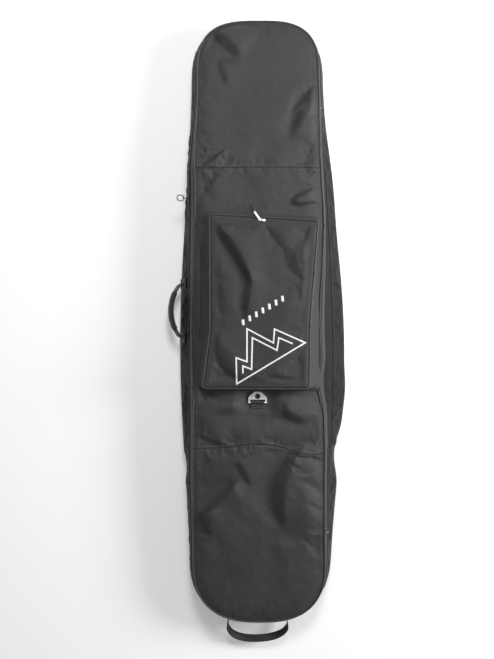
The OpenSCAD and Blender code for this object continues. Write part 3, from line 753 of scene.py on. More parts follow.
def lid_panels():
    count = int((NOSE_SEAM - TAIL_SEAM) / PANEL_STEP)
    middle = np.linspace(TAIL_SEAM + SEAM_GAP, NOSE_SEAM - SEAM_GAP, count)
    for part, side, (cap, cap_width), low, high in (
            ("nose", np.arange(NOSE_SEAM + SEAM_GAP, NOSE_ROUND, PANEL_STEP),
             end_rows(NOSE_ROUND, NOSE - PANEL_INSET, near_tip(70)), None, None),
            ("middle", middle, (middle[:0], middle[:0]), SEAM_GAP, None),
            ("tail", np.arange(TAIL_SEAM - SEAM_GAP, TAIL_ROUND, -PANEL_STEP),
             end_rows(TAIL_ROUND, TAIL + PANEL_INSET, near_tip(70)), None, -SEAM_GAP)):
        rows, narrow = np.concatenate([side, cap]), np.concatenate([np.ones(len(side)), cap_width])
        order = np.argsort(rows)
        rows, narrow = rows[order], narrow[order]
        across = int((LEFT_HALF + RIGHT_HALF) / PANEL_STEP)
        x, y = across_bag(rows, narrow, cheek_half(rows, 0), PANEL_INSET, across)
        share = (rows - rows[0]) / (rows[-1] - rows[0])
        if low is not None:
            y = y + ((tail_seam(x) + low - rows[0]) * smooth(1 - share * 3)[:, None])
        if high is not None:
            y = y + ((tail_seam(x) + high - rows[-1]) * smooth(share * 3 - 2)[:, None])
        panel = sheet(f"front_panel_{part}_cloth", np.stack([x, y, lid_top(x, y)], 2), CLOTH, FRONT_CLOTH)
        fit(panel, "lid", "front_fabric", f"front_panel_{part}")


PIPING_KINKS = (251, 78, -27, -214, -392, 470)


def kink(y, places):
    """Small sideways jogs where the piping was caught in the sewing."""
    return sum(1.7 * (-1) ** k * np.exp(-((y - place) / 5) ** 2) for k, place in enumerate(places))


def lid_piping():
    arc = around(1500)
    path = cheek(0.5, 2.3, arc)
    wobble = 0.5 * fractal((arc, 0, 0), 60, 21, 2)
    path[:, 0] += (wobble + kink(path[:, 1], PIPING_KINKS)) * np.sign(path[:, 0])
    radius = 2.1 + 0.15 * fractal((arc, 0, 0), 15, 22, 2)
    fit(cord("lid_edge_piping", path, radius), "lid", "binding", "lid_piping")


def lid_side_band():
    arc, s = around(1300), np.linspace(2.4, 11.2, 9)
    swell = np.sin(np.pi * (s - 2.4) / 8.8)
    grid = cheeks([(a, 0.5 - 0.7 * b) for a, b in zip(s, swell)], arc)
    ripple = 0.35 * fractal((arc, s[:, None], 0), 22, 31)
    grid += normals_of(grid) * (ripple * swell[:, None])[..., None] * wall_sign(grid)
    fit(wall_sheet("lid_side_band_cloth", grid, CLOTH, FRONT_CLOTH), "lid", "front_fabric", "lid_side_band")


# ----- Walls -----

WALL_LEAST, WALL_SOFT = 0.8, 1.2    # folds bottom out softly this far below the wall's plain face

WALL_FOLDS = [
    # place along the right side, slant per unit height, width, depth
    (-205, 60, 13, 7), (-150, -30, 16, 3), (-262, 34, 12, 3.2), (-345, -26, 12, 3), (-60, 70, 24, 1.8),
    (60, -60, 26, 1.6), (200, 50, 24, 1.6), (330, -40, 18, 1.6), (470, 30, 18, 1.6), (-470, 26, 16, 2),
]


def wall_folds(arc, k):
    """Creases of the wall at a share k of the way down."""
    height = 1.5 * fractal((arc * 0.5, k * 60, 0), 60, 41)
    for y, slant, width, depth in WALL_FOLDS:
        centre = arc_of(y, True) + slant * (k - 0.5)
        away = (arc - centre + PERIMETER / 2) % PERIMETER - PERIMETER / 2
        away = away / width
        height = height - depth * (np.exp(-away ** 2) - 0.6 * np.exp(-(away - 1.9) ** 2))
    return height


def outward_of(arc):
    loop = foot(FOOT_Z, 0, arc)
    out = unit(np.cross(np.roll(loop, -1, 0) - np.roll(loop, 1, 0), UP))
    return (out + 0.5 * UP) / 1.12


def wall_rows(arc, shares):
    """Rows of the side wall from the zipper's lower tape down to its widest level."""
    top, wide = cheek(CHEEK_S + 0.2, -0.3, arc), foot(FOOT_Z, 0, arc)
    away = outward_of(arc)
    span = np.linalg.norm(wide - top, axis=1)
    rows = []
    for k in shares:
        bulge = np.sin(np.pi * k) ** 0.9 * np.minimum(3.5, span * 0.07)
        folds = wall_folds(arc, k) + drape_at(WALL_DRAPE, arc, np.full_like(arc, k))
        proud = bulge + folds * np.sin(np.pi * min(k * 1.08, 1)) + WALL_LEAST
        proud = WALL_SOFT * (np.logaddexp(0, proud / WALL_SOFT) - np.log(2) * abs(2 * k - 1)) - WALL_LEAST
        rows.append(top + (wide - top) * k + away * proud[:, None])
    return rows


def side_gusset():
    """The side wall's cloth, with its turn in at the floor, and the foam behind it with the same folds."""
    arc = around(1100)
    rows = wall_rows(arc, np.linspace(0, 1, 26))
    wide, low = foot(FOOT_Z, 0, arc), foot(3.2, 7.6, arc)
    for a in np.linspace(0, np.pi / 2, 7)[1:]:
        rows.append(wide + (low - wide) * np.array([1 - math.cos(a), 1 - math.cos(a), math.sin(a)]))
    wall = wall_sheet("side_gusset_cloth", np.array(rows), 1.3, SHADED_WALL_CLOTH)
    fit(wall, "base", "wall_fabric", "side_gusset")
    arc = around(420)
    grid = np.array(wall_rows(arc, np.linspace(0.03, 0.97, 14))) - outward_of(arc)[None] * 2.4
    fit(wall_sheet("gusset_foam_sheet", grid, 4.5, FOAM), "base", "foam", "gusset_foam")


def hinge_cloth():
    """Fabric on the hinge side, in three lengths that meet at the lid's cross seams."""
    slope_nose, slope_tail = END_DROP / (NOSE - NOSE_SEAM), END_DROP / (TAIL_SEAM - TAIL)
    s = np.linspace(10.6, 35.6, 20)[:, None]
    across, crease = np.sin(np.pi * (s - 10.6) / 25), 1.3 * np.exp(-((s - ZIP_S) / 2.2) ** 2)
    for name, y0, y1, slope, nodes in (
            ("hinge_cloth_tail", HINGE_FROM, TAIL_SEAM, -slope_tail, ()),
            ("hinge_cloth_middle", TAIL_SEAM, NOSE_SEAM, 0, ("hinge_facing_lower", "hinge_facing_upper")),
            ("hinge_cloth_nose", NOSE_SEAM, HINGE_TO, slope_nose, ())):
        a0, a1 = arc_of(y0, True), arc_of(y1, True)
        arc = np.linspace(a0, a1, int((a1 - a0) / 3))
        grid = cheeks([(level, 0.9) for level in s[:, 0]], arc)
        rough = 0.9 * fractal((arc * 0.6, s, 0), 26, 51)
        n = normals_of(grid)
        n *= 1 if n[..., 0].sum() > 0 else -1
        grid = grid + n * (across * (1.2 + rough) - crease)[..., None]
        start = np.array([lid_right(np.array(0)), NOSE_SEAM if slope > 0 else TAIL_SEAM, LID_H - 34])
        end = start + 22 / (1 + slope * slope) * np.array([0, slope, 1])
        piece = wall_sheet(name, grid, THIN_CLOTH, SHADED_WALL_CLOTH, closed=False)
        fit_blend(piece, ("base", "lid"), start, end, "wall_fabric", *nodes)


def back():
    ys = TAIL + (NOSE - TAIL) * (1 - np.cos(np.pi * np.linspace(0.012, 0.988, 330))) / 2
    right, left = (foot(0.6, 8, np.array([arc_of(y, side) for y in ys])) for side in (True, False))
    points = right[None] + (left - right)[None] * np.linspace(0, 1, 80)[:, None, None]
    points[..., 2] = 0.8 + 0.25 * fractal((points[..., 0], points[..., 1], 0), 40, 61, 2)
    fit(sheet("back_panel_cloth", points, RIM_CLOTH, BACK_CLOTH), "base", "wall_fabric", "back_panel")
    arc = around(700)
    rim = np.array([foot(z, d, arc) for d, z in ((7.4, 1.7), (9, 1.5), (12, 1.6), (18, 1.8))])
    fit(sheet("back_panel_rim", rim, RIM_CLOTH, BACK_CLOTH, closed=True), "base", "wall_fabric")
    seam = foot(0.35, 14, np.arange(0, PERIMETER, STITCH_PITCH))
    sew("back_edge_stitches", frames_along(seam, -UP), "base")
    fit(cord("back_edge_piping", foot(3, 7.8, around(1200)), 2.3, 10), "base", "binding", "back_piping")


# ----- Zippers -----

COIL_PITCH = 2.4
TOOTH, SMALL_TOOTH = rounded_box(4.6, 1.7, 3, 0.5), rounded_box(3.6, 1.6, 2.4, 0.45)


def main_zip_frames(arc, s, d):
    """Places on the wall's zipper: points, down the wall, along it, and outward."""
    at = cheek(s, d, arc)
    down, along = unit(cheek(s + 1, d, arc) - at), unit(np.gradient(at, axis=0))
    out = np.cross(down, along)
    out *= np.sign(np.sum(out[:, :2] * at[:, :2], 1, keepdims=True))
    return at, down, along, out


def main_zipper():
    arc = np.arange(ZIP_FROM + 6, ZIP_TO - 6, COIL_PITCH)
    tape_arc = np.linspace(ZIP_FROM + 1, ZIP_TO - 1, 1250)
    for part, body, top, low, coil_s, shift in (("upper", "lid", 10.8, 19.4, 20.9, 0),
                                                ("lower", "base", 26.6, 35.4, 25.1, COIL_PITCH / 2)):
        rows = np.linspace(top, low, 8)
        swell = np.sin(np.pi * (rows - top) / (low - top))[:, None]
        wave = 0.25 * fractal((tape_arc, rows[:, None], 0), 30, 71, 2) * swell
        out = main_zip_frames(tape_arc, ZIP_S, 0)[3]
        grid = cheeks([(s, 0.7) for s in rows], tape_arc) + out[None] * wave[..., None]
        tape = wall_sheet(f"main_zip_{part}_tape_cloth", grid, 0.8, TAPE, closed=False)
        fit(tape, body, "zip_tape", f"main_zip_{part}_tape")
        teeth = stamped(f"main_zip_{part}_coil", TOOTH, main_zip_frames(arc + shift, coil_s, -0.2), TEETH)
        fit(teeth, body, "zip_teeth", f"main_zip_{part}_teeth")


# ----- Pocket -----

FLAP_AXIS = joint_place("pocket_flap_hinge")
TILT = math.radians(2.35)
FRONT_CORNERS = [(129, -183), (132, -9), (155, 262), (-135, 280), (-134, -27), (-153, -181)]
FOOT_CORNERS = [(159, -180), (157, -4), (154, 279), (-158, 293), (-161, -22), (-163, -179)]
FRONT_RADII = [14, 40, 14, 14, 40, 14]
EDGE_POINTS, CORNER_POINTS = 90, 12
FRONT_INSET = 4.6                   # the front's folded edge, over the zipper and beside the piping
ZIP_INSET = 12.6                    # the middle of the pocket's zipper
STITCH_INSET, STITCH_LIFT = FRONT_INSET + 4, 0.15
POCKET_KINKS = (125, 61, -11, 232, -96)

POCKET_FOLDS = [
    (-128, 262, -28, 104, 22, 11, 0.04), (-30, 126, -42, 12, 18, 7), (20, 262, 62, 196, 30, 3.5),
    (144, 250, 84, 168, 22, 5), (66, 200, 98, 120, 26, 4), (118, 160, 104, 60, 20, 3),
    (-110, 100, -96, 20, 24, 3), (132, 30, 100, -70, 26, 3), (-126, -40, -70, -150, 30, 3),
    (20, -140, 110, -160, 18, 3), (50, 60, 20, -60, 50, 2.5),
]


def in_bag(points, w):
    """Points (u, v) of the pocket's plane, w above it, in the bag's frame."""
    u, v = points[..., 0], points[..., 1]
    c, s = math.cos(TILT), math.sin(TILT)
    return np.stack(np.broadcast_arrays(u, FLAP_AXIS[1] + v * c + w * s, FLAP_AXIS[2] - v * s + w * c), -1)


def left_of(directions):
    """Flat directions turned a quarter to the left."""
    return np.stack([-directions[..., 1], directions[..., 0]], -1)


def inset_polygon(corners, d):
    pts = np.array(corners, float)
    n1, n2 = left_of(unit(pts - np.roll(pts, 1, 0))), left_of(unit(np.roll(pts, -1, 0) - pts))
    bisector = n1 + n2
    return pts + d * bisector / np.sum(bisector * n1, 1, keepdims=True)


def outline(corners, d):
    """A polygon moved inwards by d with rounded corners; points of different d pair up."""
    pts = inset_polygon(corners, d)
    u, v = unit(np.roll(pts, 1, 0) - pts), unit(np.roll(pts, -1, 0) - pts)
    reach = np.maximum(2, np.array(FRONT_RADII) - d) / np.tan(np.arccos(np.sum(u * v, 1)) / 2)
    starts, ends = pts + u * reach[:, None], pts + v * reach[:, None]
    points = []
    for start, corner, end, following in zip(starts, pts, ends, np.roll(starts, -1, 0)):
        t = np.linspace(0, 1, CORNER_POINTS, endpoint=False)[:, None]
        points.append(start * (1 - t) ** 2 + corner * 2 * t * (1 - t) + end * t ** 2)
        t = np.linspace(0, 1, EDGE_POINTS, endpoint=False)[:, None]
        points.append(end + (following - end) * t)
    return np.concatenate(points)


def front_edge(u, v):
    """Distance inwards from the edge of the pocket's front, roundings ignored."""
    right, left = np.array(FRONT_CORNERS[:3]), np.array(FRONT_CORNERS[:2:-1])
    sides = (np.interp(v, right[:, 1], right[:, 0]) - u, u - np.interp(v, left[:, 1], left[:, 0]),
             np.interp(u, [left[2, 0], right[2, 0]], [left[2, 1], right[2, 1]]) - v,
             v - np.interp(u, [left[0, 0], right[0, 0]], [left[0, 1], right[0, 1]]))
    return np.maximum(np.min(np.broadcast_arrays(*sides), 0) - FRONT_INSET, 0)


def front_height(u, v):
    """Height of the pocket's front above its plane."""
    x, y, e = u, v + FLAP_AXIS[1], front_edge(u, v)
    free = smooth((e - 9) / 22)
    w = 0.2 + 2.2 * (1 - np.exp(-e / 3)) + 1.6 * (1 - np.exp(-e / 30))
    w = w + free * sum(fold_height(x, y, *fold) for fold in POCKET_FOLDS)
    at = x, y, 0
    w = w + free * (1.4 * fractal(at, 110, 13, 2) + 1.3 * creased(at, 130, 14) + 0.3 * creased(at, 42, 15))
    return w + free * drape_at(FRONT_DRAPE, x, y)


def on_front(points, lift):
    return in_bag(points, front_height(points[..., 0], points[..., 1]) + lift)


def coons(bottom, top, left, right):
    """A grid that fills four edges: bottom and top run left to right, left and right run upwards."""
    s = np.linspace(0, 1, len(bottom))[None, :, None]
    t = np.linspace(0, 1, len(left))[:, None, None]
    ruled = (1 - t) * bottom[None] + t * top[None] + (1 - s) * left[:, None] + s * right[:, None]
    return ruled - (1 - t) * ((1 - s) * bottom[0] + s * bottom[-1]) - t * ((1 - s) * top[0] + s * top[-1])


def fit_front(piece, slot, *nodes):
    """A piece of the pocket's front, across the flap's hinge line."""
    x, y, z = 0, FLAP_AXIS[1], FLAP_AXIS[2]
    fit_blend(piece, ("lid", "pocket_flap"), (x, y - 4, z), (x, y + 6, z), slot, *nodes)


def pocket_front():
    loop = outline(FRONT_CORNERS, FRONT_INSET)
    corner = [k * (len(loop) // 6) + CORNER_POINTS // 2 for k in range(6)]
    right, left = loop[corner[0]:corner[2] + 1], loop[corner[3]:corner[5] + 1][::-1]
    top = loop[corner[2]:corner[3] + 1][::-1]
    bottom = np.concatenate([loop[corner[5]:], loop[:corner[0] + 1]])
    flat = coons(spaced(bottom, 112), spaced(top, 112), spaced(left, 186), spaced(right, 186))
    piece = sheet("pocket_front_cloth", on_front(flat, 0), CLOTH, POCKET_CLOTH)
    fit_front(piece, "front_fabric", "pocket_front_lower", "pocket_flap_panel")


def pocket_walls():
    feet = outline(FOOT_CORNERS, 0)
    low = np.stack([feet[:, 0], feet[:, 1], lid_top(feet[:, 0], feet[:, 1]) - 0.6], 1)
    high = in_bag(outline(FRONT_CORNERS, 1), -2.4)
    arc = arc_length(high)
    away = unit((high - high.mean(0)) * (1, 1, 0))
    tall = np.linalg.norm(high - low, axis=1)
    rows = []
    for k in np.linspace(0, 1, 16):
        fold = 1.1 * fractal((arc, 40 * k, 0), 42, 81)
        fold += 3.2 * np.sin(2 * np.pi * (k * 1.4 + 0.15 * np.sin(arc / 60))) * np.minimum(1, tall / 26)
        rows.append(low + (high - low) * k + away * (np.sin(np.pi * k) * (0.6 + fold))[:, None])
    walls = wall_sheet("pocket_wall_cloth", np.array(rows), THIN_CLOTH, POCKET_CLOTH)
    fit(walls, "lid", "front_fabric", "pocket_gusset")


def pocket_piping():
    loop = resample(in_bag(outline(FRONT_CORNERS, 2), -0.8), 2.2, closed=True)
    arc = arc_length(loop)
    loop[:, 0] += 0.35 * fractal((arc, 0, 0), 40, 91, 2)
    loop[:, 0] += kink(loop[:, 1], POCKET_KINKS) * np.where(loop[:, 0] > 0, 1, -0.6)
    radius = 2 + 0.12 * fractal((arc, 0, 0), 14, 92, 2)
    fit(cord("pocket_edge_piping", loop, radius), "lid", "binding", "pocket_piping")


def above_fold(d, v_from):
    """The part of the front's outline above the hinge line, from the right side round to the left."""
    points = outline(FRONT_CORNERS, d)
    return points[points[:, 1] > v_from]


def pocket_zipper():
    rows = []
    for d in np.linspace(3.4, 10.6, 6):
        points = outline(FRONT_CORNERS, d)
        wave = 0.15 * fractal((arc_length(points), d * 2, 0), 26, 95, 2)
        rows.append(in_bag(points, wave - 1 - smooth((d - 3.4) / 2)))
    border = sheet("pocket_zip_outer_tape_cloth", facing_up(np.array(rows)), 0.7, TAPE, closed=True)
    fit(border, "lid", "zip_tape", "pocket_zip_outer_tape")
    rows = [in_bag(spaced(above_fold(d, 0.6), 420), -2) for d in np.linspace(14.8, 18.4, 5)]
    tape = sheet("pocket_zip_inner_tape_cloth", facing_up(np.array(rows)), 0.7, TAPE)
    fit(tape, "pocket_flap", "zip_tape", "pocket_zip_inner_tape")
    for part, d, shift, body, v_from in (("outer", 11.4, 0, "lid", 8),
                                         ("inner", 14, 0.5, "pocket_flap", 9)):
        dense = spaced(above_fold(ZIP_INSET, v_from), 4000)
        arc = arc_length(dense)
        centre = along_path(np.arange(shift * COIL_PITCH, arc[-1], COIL_PITCH), arc, dense)
        tangent = unit(np.gradient(centre, axis=0))
        inward = left_of(tangent)
        origin = in_bag(centre + inward * (d - ZIP_INSET), -0.4)
        ex, ey = (in_bag(way, 0) - FLAP_AXIS * (0, 1, 1) for way in (inward, tangent))
        teeth = stamped(f"pocket_zip_{part}_coil", SMALL_TOOTH, (origin, ex, ey, np.cross(ex, ey)), TEETH)
        fit(teeth, body, "zip_teeth", f"pocket_zip_{part}_teeth")


def dense_path(points, closed):
    """Straight runs between corners cut into short steps that keep the corners."""
    out, ends = [], points[1:] + points[:closed]
    for a, b in zip(points, ends):
        count = max(1, int(np.linalg.norm(b - a) / 2.5))
        out += [a + (b - a) * k / count for k in range(count)]
    return np.array(out if closed else out + [points[-1]])


def stroke(name, points, width, closed=False):
    """A printed stroke on the pocket's front along (u, v) corners, mitred."""
    path = dense_path(points, closed)
    before, after = path - np.roll(path, 1, 0), np.roll(path, -1, 0) - path
    if not closed:
        before[0], after[-1] = after[0], before[-1]
    n1, n2 = left_of(unit(before)), left_of(unit(after))
    mitre = n1 + n2
    mitre /= np.maximum(np.sum(mitre * n1, 1, keepdims=True), 0.35)
    grid = np.array([on_front(path + mitre * (width * k), 0.35) for k in np.linspace(-0.5, 0.5, 4)])
    fit_front(sheet(name, facing_up(grid), 0.3, INK, closed), "print")


def printed_peaks():
    """A generic graphic, tilted: outlined peaks under a row of bars."""
    tilt = math.radians(31)
    along = np.array([math.cos(tilt), math.sin(tilt)])
    first, scale = np.array([-44, -10]), 1.05

    def placed(*points):
        return [first + scale * (along * p + left_of(along) * q) for p, q in points]

    ridge = placed((-92, -120), (-60, -64), (-42, -86), (0, -16), (38, -80), (58, -52), (106, -120))
    inner = placed((-66, -106), (-56, -90), (-42, -108), (0, -42), (36, -100), (56, -76), (78, -106))
    stroke("print_ridge", ridge, 4, True)
    stroke("print_inner_ridge", inner, 4)
    for k in range(7):
        stroke(f"print_bar_{k + 1}", placed((19 * k - 3, -4), (19 * k + 3, 9)), 7)


# ----- Sewing -----

def seam_stitches():
    """Top stitching of the wall, beside the lid's cross seams, and along the pocket's piping."""
    arc = np.arange(0, PERIMETER, STITCH_PITCH)
    for name, s, d, body in (("band_top", 4, 0, "lid"), ("band_low", 10.4, 0.1, "lid"),
                             ("gusset_top", 37.2, -1, "base")):
        at, down, along, out = main_zip_frames(arc, s, d)
        sew(f"{name}_stitches", (at, along, down, out), body)
    x = np.arange(-168, 158, STITCH_PITCH)
    for end, seam in (("nose", NOSE_SEAM + 0 * x), ("tail", tail_seam(x))):
        for side, y in (("upper", seam + 6), ("lower", seam - 6)):
            at = np.stack([x, y, lid_top(x, y) + STITCH_LIFT], 1)
            sew(f"{end}_seam_stitches_{side}", frames_along(at, UP), "lid")
    loop = outline(FRONT_CORNERS, STITCH_INSET)
    over = np.flatnonzero(loop[:, 1] > -4)
    lower = np.roll(loop, -over[-1] - 1, 0)[:len(loop) - len(over)]
    for name, part, body in (("pocket", lower, "lid"), ("flap", above_fold(STITCH_INSET, 14), "pocket_flap")):
        at = on_front(resample(part, STITCH_PITCH), STITCH_LIFT)
        sew(f"{name}_edge_stitches", frames_along(at, UP), body)


def box_stitch(name, centre, ex, ey, half_x, half_y, body):
    """A square of stitches with a cross in it."""
    a, b, c, d = (centre + ex * x * half_x + ey * y * half_y for x, y in ((-1, -1), (1, -1), (1, 1), (-1, 1)))
    rows = [frames_along(resample(ends, 3.8), np.cross(ex, ey))
            for ends in ((a, b), (b, c), (c, d), (d, a), (a, c), (b, d))]
    sew(name, [np.concatenate(column) for column in zip(*rows)], body)


# ----- Handles -----

def webbing(name, path, across, width, thick, edge=0.8):
    """A flat strap: a rounded flat section swept along a path, its width along across."""
    path, _, below, across = frames_along(path, across)
    w, t = width / 2, thick / 2
    row = np.linspace(-w + edge, w - edge, 9)
    profile = np.array([(a, t) for a in row] + [(w, t * 0.3), (w, -t * 0.3)]
                       + [(a, -t) for a in row[::-1]] + [(-w, -t * 0.3), (-w, t * 0.3)])
    rings = path[:, None] + profile[None, :, :1] * across[:, None] - profile[None, :, 1:] * below[:, None]
    uv = np.stack([np.repeat(arc_length(path), len(profile)), np.tile(profile[:, 0], len(path))], 1)
    return capped_tube(name, rings, WEBBING, uv)


HANDLE_AXIS = joint_place("side_handle_hinge")
HANDLE_HALF, HANDLE_RISE, HANDLE_TILT = 73, 26, math.radians(12)
HANDLE_R = (HANDLE_HALF ** 2 + HANDLE_RISE ** 2) / (2 * HANDLE_RISE)
HANDLE_ARC = math.asin(HANDLE_HALF / HANDLE_R)


def handle_point(angle, r, across=0):
    """A point of the side handle's arc, in the bag's frame."""
    rise, run = HANDLE_RISE - HANDLE_R + r * np.cos(angle), r * np.sin(angle)
    c, s = math.cos(HANDLE_TILT), math.sin(HANDLE_TILT)
    return HANDLE_AXIS + np.stack(np.broadcast_arrays(across * s - rise * c, run, rise * s + across * c), -1)


def wall_point(y, z):
    """A point on the left wall's outer face at a height."""
    arc = np.array([arc_of(y, False)])
    top, wide = cheek(CHEEK_S, -0.3, arc)[0], foot(FOOT_Z, 0, arc)[0]
    k = (top[2] - z) / (top[2] - wide[2])
    return top + (wide - top) * k + np.array([-3.4 * math.sin(math.pi * k), 0, 0])


def side_handle():
    slope, out = np.array([0.47, 0, 0.88]), np.array([-0.88, 0, 0.47])
    arc = handle_point(np.linspace(-HANDLE_ARC, HANDLE_ARC, 60), HANDLE_R)
    _, y, z = HANDLE_AXIS
    seats, legs = [], []
    for side, end in ((-1, arc[0]), (1, arc[-1])):
        seat = wall_point(y + side * HANDLE_HALF, z - 4) + out * 1.6
        rise = seat + out - side * 1.5 * ALONG_Y
        seats.append(seat)
        legs.append([seat - side * 9 * ALONG_Y, rise, rise * 0.4 + end * 0.6])
    path = resample(np.concatenate([legs[0], arc[2:-2], legs[1][::-1]]), 2.5)
    fit_blend(webbing("side_handle_strap", path, slope, 24, 3.4), ("base", "side_handle"),
              (-211, 30, z), (-221, 30, z), "webbing", "side_handle_webbing")
    for side, seat, nodes in zip(("tail", "nose"), seats, ((), ("side_handle_anchors",))):
        path = seat[None] + slope * np.linspace(-15, 15, 13)[:, None]
        fit(webbing(f"side_handle_patch_{side}", path, ALONG_Y, 27, 1.8), "base", "webbing", *nodes)
        box_stitch(f"side_handle_patch_stitches_{side}", seat + out * 1.1, slope, ALONG_Y, 12.5, 11, "base")


def side_grip():
    """A padded sleeve round the middle of the handle, gathered at both ends."""
    angles = np.linspace(-HANDLE_ARC + 0.2, HANDLE_ARC - 0.2, 80)
    turn = np.linspace(0, 2 * np.pi, 40, endpoint=False)
    k = ((angles - angles[0]) / (angles[-1] - angles[0]))[:, None]
    pinch = 1 - 0.42 * (1 - smooth(np.minimum(k, 1 - k) / 0.07))
    across, radial = (half * pinch * np.sign(wave) * np.abs(wave) ** 0.8
                      for half, wave in ((14.5, np.cos(turn)), (6.9, np.sin(turn))))
    radial = radial - 0.8 * np.exp(-((turn - 3 * np.pi / 2) / 0.07) ** 2)
    grid = handle_point(angles[:, None], HANDLE_R + radial, across)
    at = np.moveaxis(grid, -1, 0)
    wrinkle = 0.35 * fractal(at, 16, 101) + 0.15 * fractal(at, 5, 102, 2)
    n = normals_of(grid)
    n *= np.sign(np.sum(n * (grid - handle_point(angles, HANDLE_R)[:, None]), 2, keepdims=True))
    grid = grid + n * wrinkle[..., None]
    fit(capped_tube("side_handle_padded_grip", grid, GRIP_CLOTH, grid_uv(grid)), "side_handle", "grip",
        "side_handle_grip")
    seam, inner = (handle_point(angles[6:-6], HANDLE_R - depth, 3.4) for depth in (7, 10))
    both = resample(np.concatenate([seam, inner - seam], 1), 4.6)
    sew("side_grip_stitches", frames_along(both[:, :3], both[:, 3:]), "side_handle")


TAIL_AXIS = joint_place("tail_handle_hinge")
TAIL_HALF, TAIL_REACH, TAIL_W, TAIL_T = 82, 47, 20, 3


def tail_handle():
    t = np.linspace(0, 1, 90)
    arch, run = np.sin(np.pi * t), np.cos(np.pi * t)
    centre = TAIL_AXIS + np.stack([-TAIL_HALF * run - 7 * arch ** 2, -TAIL_REACH * arch ** 0.8 - 1.5,
                                   -8 * arch ** 2], 1)
    lean = np.radians(22) * smooth(arch / 0.3) + np.radians(56) * arch ** 2
    w = np.stack([-run * np.sin(lean), -arch * np.sin(lean), np.cos(lean)], 1)
    roots = [np.array([TAIL_AXIS[0] + side * TAIL_HALF, TAIL - 1.2, TAIL_AXIS[2] - 1]) for side in (-1, 1)]
    path = np.concatenate([roots[0] + [[12, 1, 0], [3, 0.2, 0]], centre[1:-1],
                           roots[1] + [[-3, 0.2, 0], [-12, 1, 0]]])
    both = resample(np.concatenate([path, np.concatenate([[UP] * 2, w[1:-1], [UP] * 2])], 1), 2.5)
    x, y, z = TAIL_AXIS
    fit_blend(webbing("tail_handle_strap", both[:, :3], both[:, 3:], TAIL_W, TAIL_T), ("base", "tail_handle"),
              (x, TAIL - 3, z), (x, y - 3, z), "webbing", "tail_handle_webbing")
    for side, name, nodes in ((-1, "left", ()), (1, "right", ("tail_handle_anchors",))):
        turn = side * math.radians(4)
        ex = np.array([math.cos(turn), math.sin(turn), 0])
        seat = np.array([x + side * TAIL_HALF, TAIL - 0.4, 27])
        path = seat + ex * np.linspace(-14, 14, 11)[:, None]
        fit(webbing(f"tail_handle_patch_{name}", path, UP, 22, 1.8), "base", "webbing", *nodes)
        box_stitch(f"tail_handle_patch_stitches_{name}", seat - 1.1 * ALONG_Y, ex, UP, 11, 8, "base")


# ----- Inside -----

def quilt(x, y, depth):
    """Padding sewn in diamonds."""
    a, b = (np.abs(np.sin(np.pi * diagonal / 62)) for diagonal in (x + y, x - y))
    return depth * (np.minimum(a, b) ** 0.5 - 1)


def flat_layer(name, body, node, halves, inset, height, side, thick=0.6, mat=LINING, slot="lining", tuft=1.6):
    """A layer inside the bag, across its whole outline; side is the way its quilting bulges."""
    rows, narrow = whole_rows(12, np.arange(TAIL_ROUND, NOSE_ROUND, 5), near_tip(40))
    x, y = across_bag(rows, narrow, halves(rows), inset, 90)
    grid = np.stack([x, y, height(y) + side * quilt(x, y, tuft)], 2)
    fit(sheet(name, grid[:, ::side], thick, mat), body, slot, node)


def layers():
    flat_layer("base_lining_quilted", "base", "base_lining", base_half, 14, lambda y: 12.2 + 0 * y, 1)
    flat_layer("lid_lining_quilted", "lid", "lid_lining", lambda y: cheek_half(y, 9.4), 5,
               lambda y: LID_H + drop(y) - 9.4, -1)
    flat_layer("lid_foam_sheet", "lid", "lid_foam", lambda y: cheek_half(y, 0), 7,
               lambda y: LID_H + drop(y) - 2.2, 1, 5, FOAM, "foam", 0)
    arc = around(900)
    top, wide, low = cheek(CHEEK_S + 1.4, 9.4, arc), foot(FOOT_Z + 4, 11, arc), foot(10.6, 14.6, arc)
    rows = [top + (wide - top) * k for k in np.linspace(0, 1, 14)]
    rows += [wide + (low - wide) * k for k in (0.35, 0.7, 1)]
    grid, order = np.array(rows), np.arange(len(rows))[:, None]
    pleats = np.abs(fractal((arc, order * 4, 0), 45, 111)) * np.sin(np.pi * order / order[-1])
    inner = grid - normals_of(grid) * wall_sign(grid) * pleats[..., None]
    fit(wall_sheet("wall_lining_cloth", inner, 0.6, LINING, way=-1), "base", "lining", "gusset_lining")
    for name, body, row, way, profile in (
            ("wall_rim_binding", "base", 3, 1, [(3, 1.2), (1, 1.3), (0.1, 2.4), (-0.5, 5), (0.1, 8.4),
                                                (1, 9.9), (3.4, 10.2)]),
            ("lid_rim_binding", "lid", 2, -1, [(-24.4, 1.6), (-24.1, 2.6), (-24.4, 3.8), (-25.4, 5.6),
                                               (-25.8, 8)])):
        rim = cheeks([(CHEEK_S + s, d) for s, d in profile], arc)
        rim = rim if way * normals_of(rim)[row, :, 2].mean() > 0 else rim[::-1]
        fit(sheet(name, rim, RIM_CLOTH, PIPING_CLOTH, closed=True), body, "binding")


# ----- Small parts -----

METAL_PARTS = ("main_slider_body", "main_slider_pull", "pocket_slider_body", "pocket_slider_pull",
               "accessory_tab", "main_zip_stops", "pocket_zip_stops")


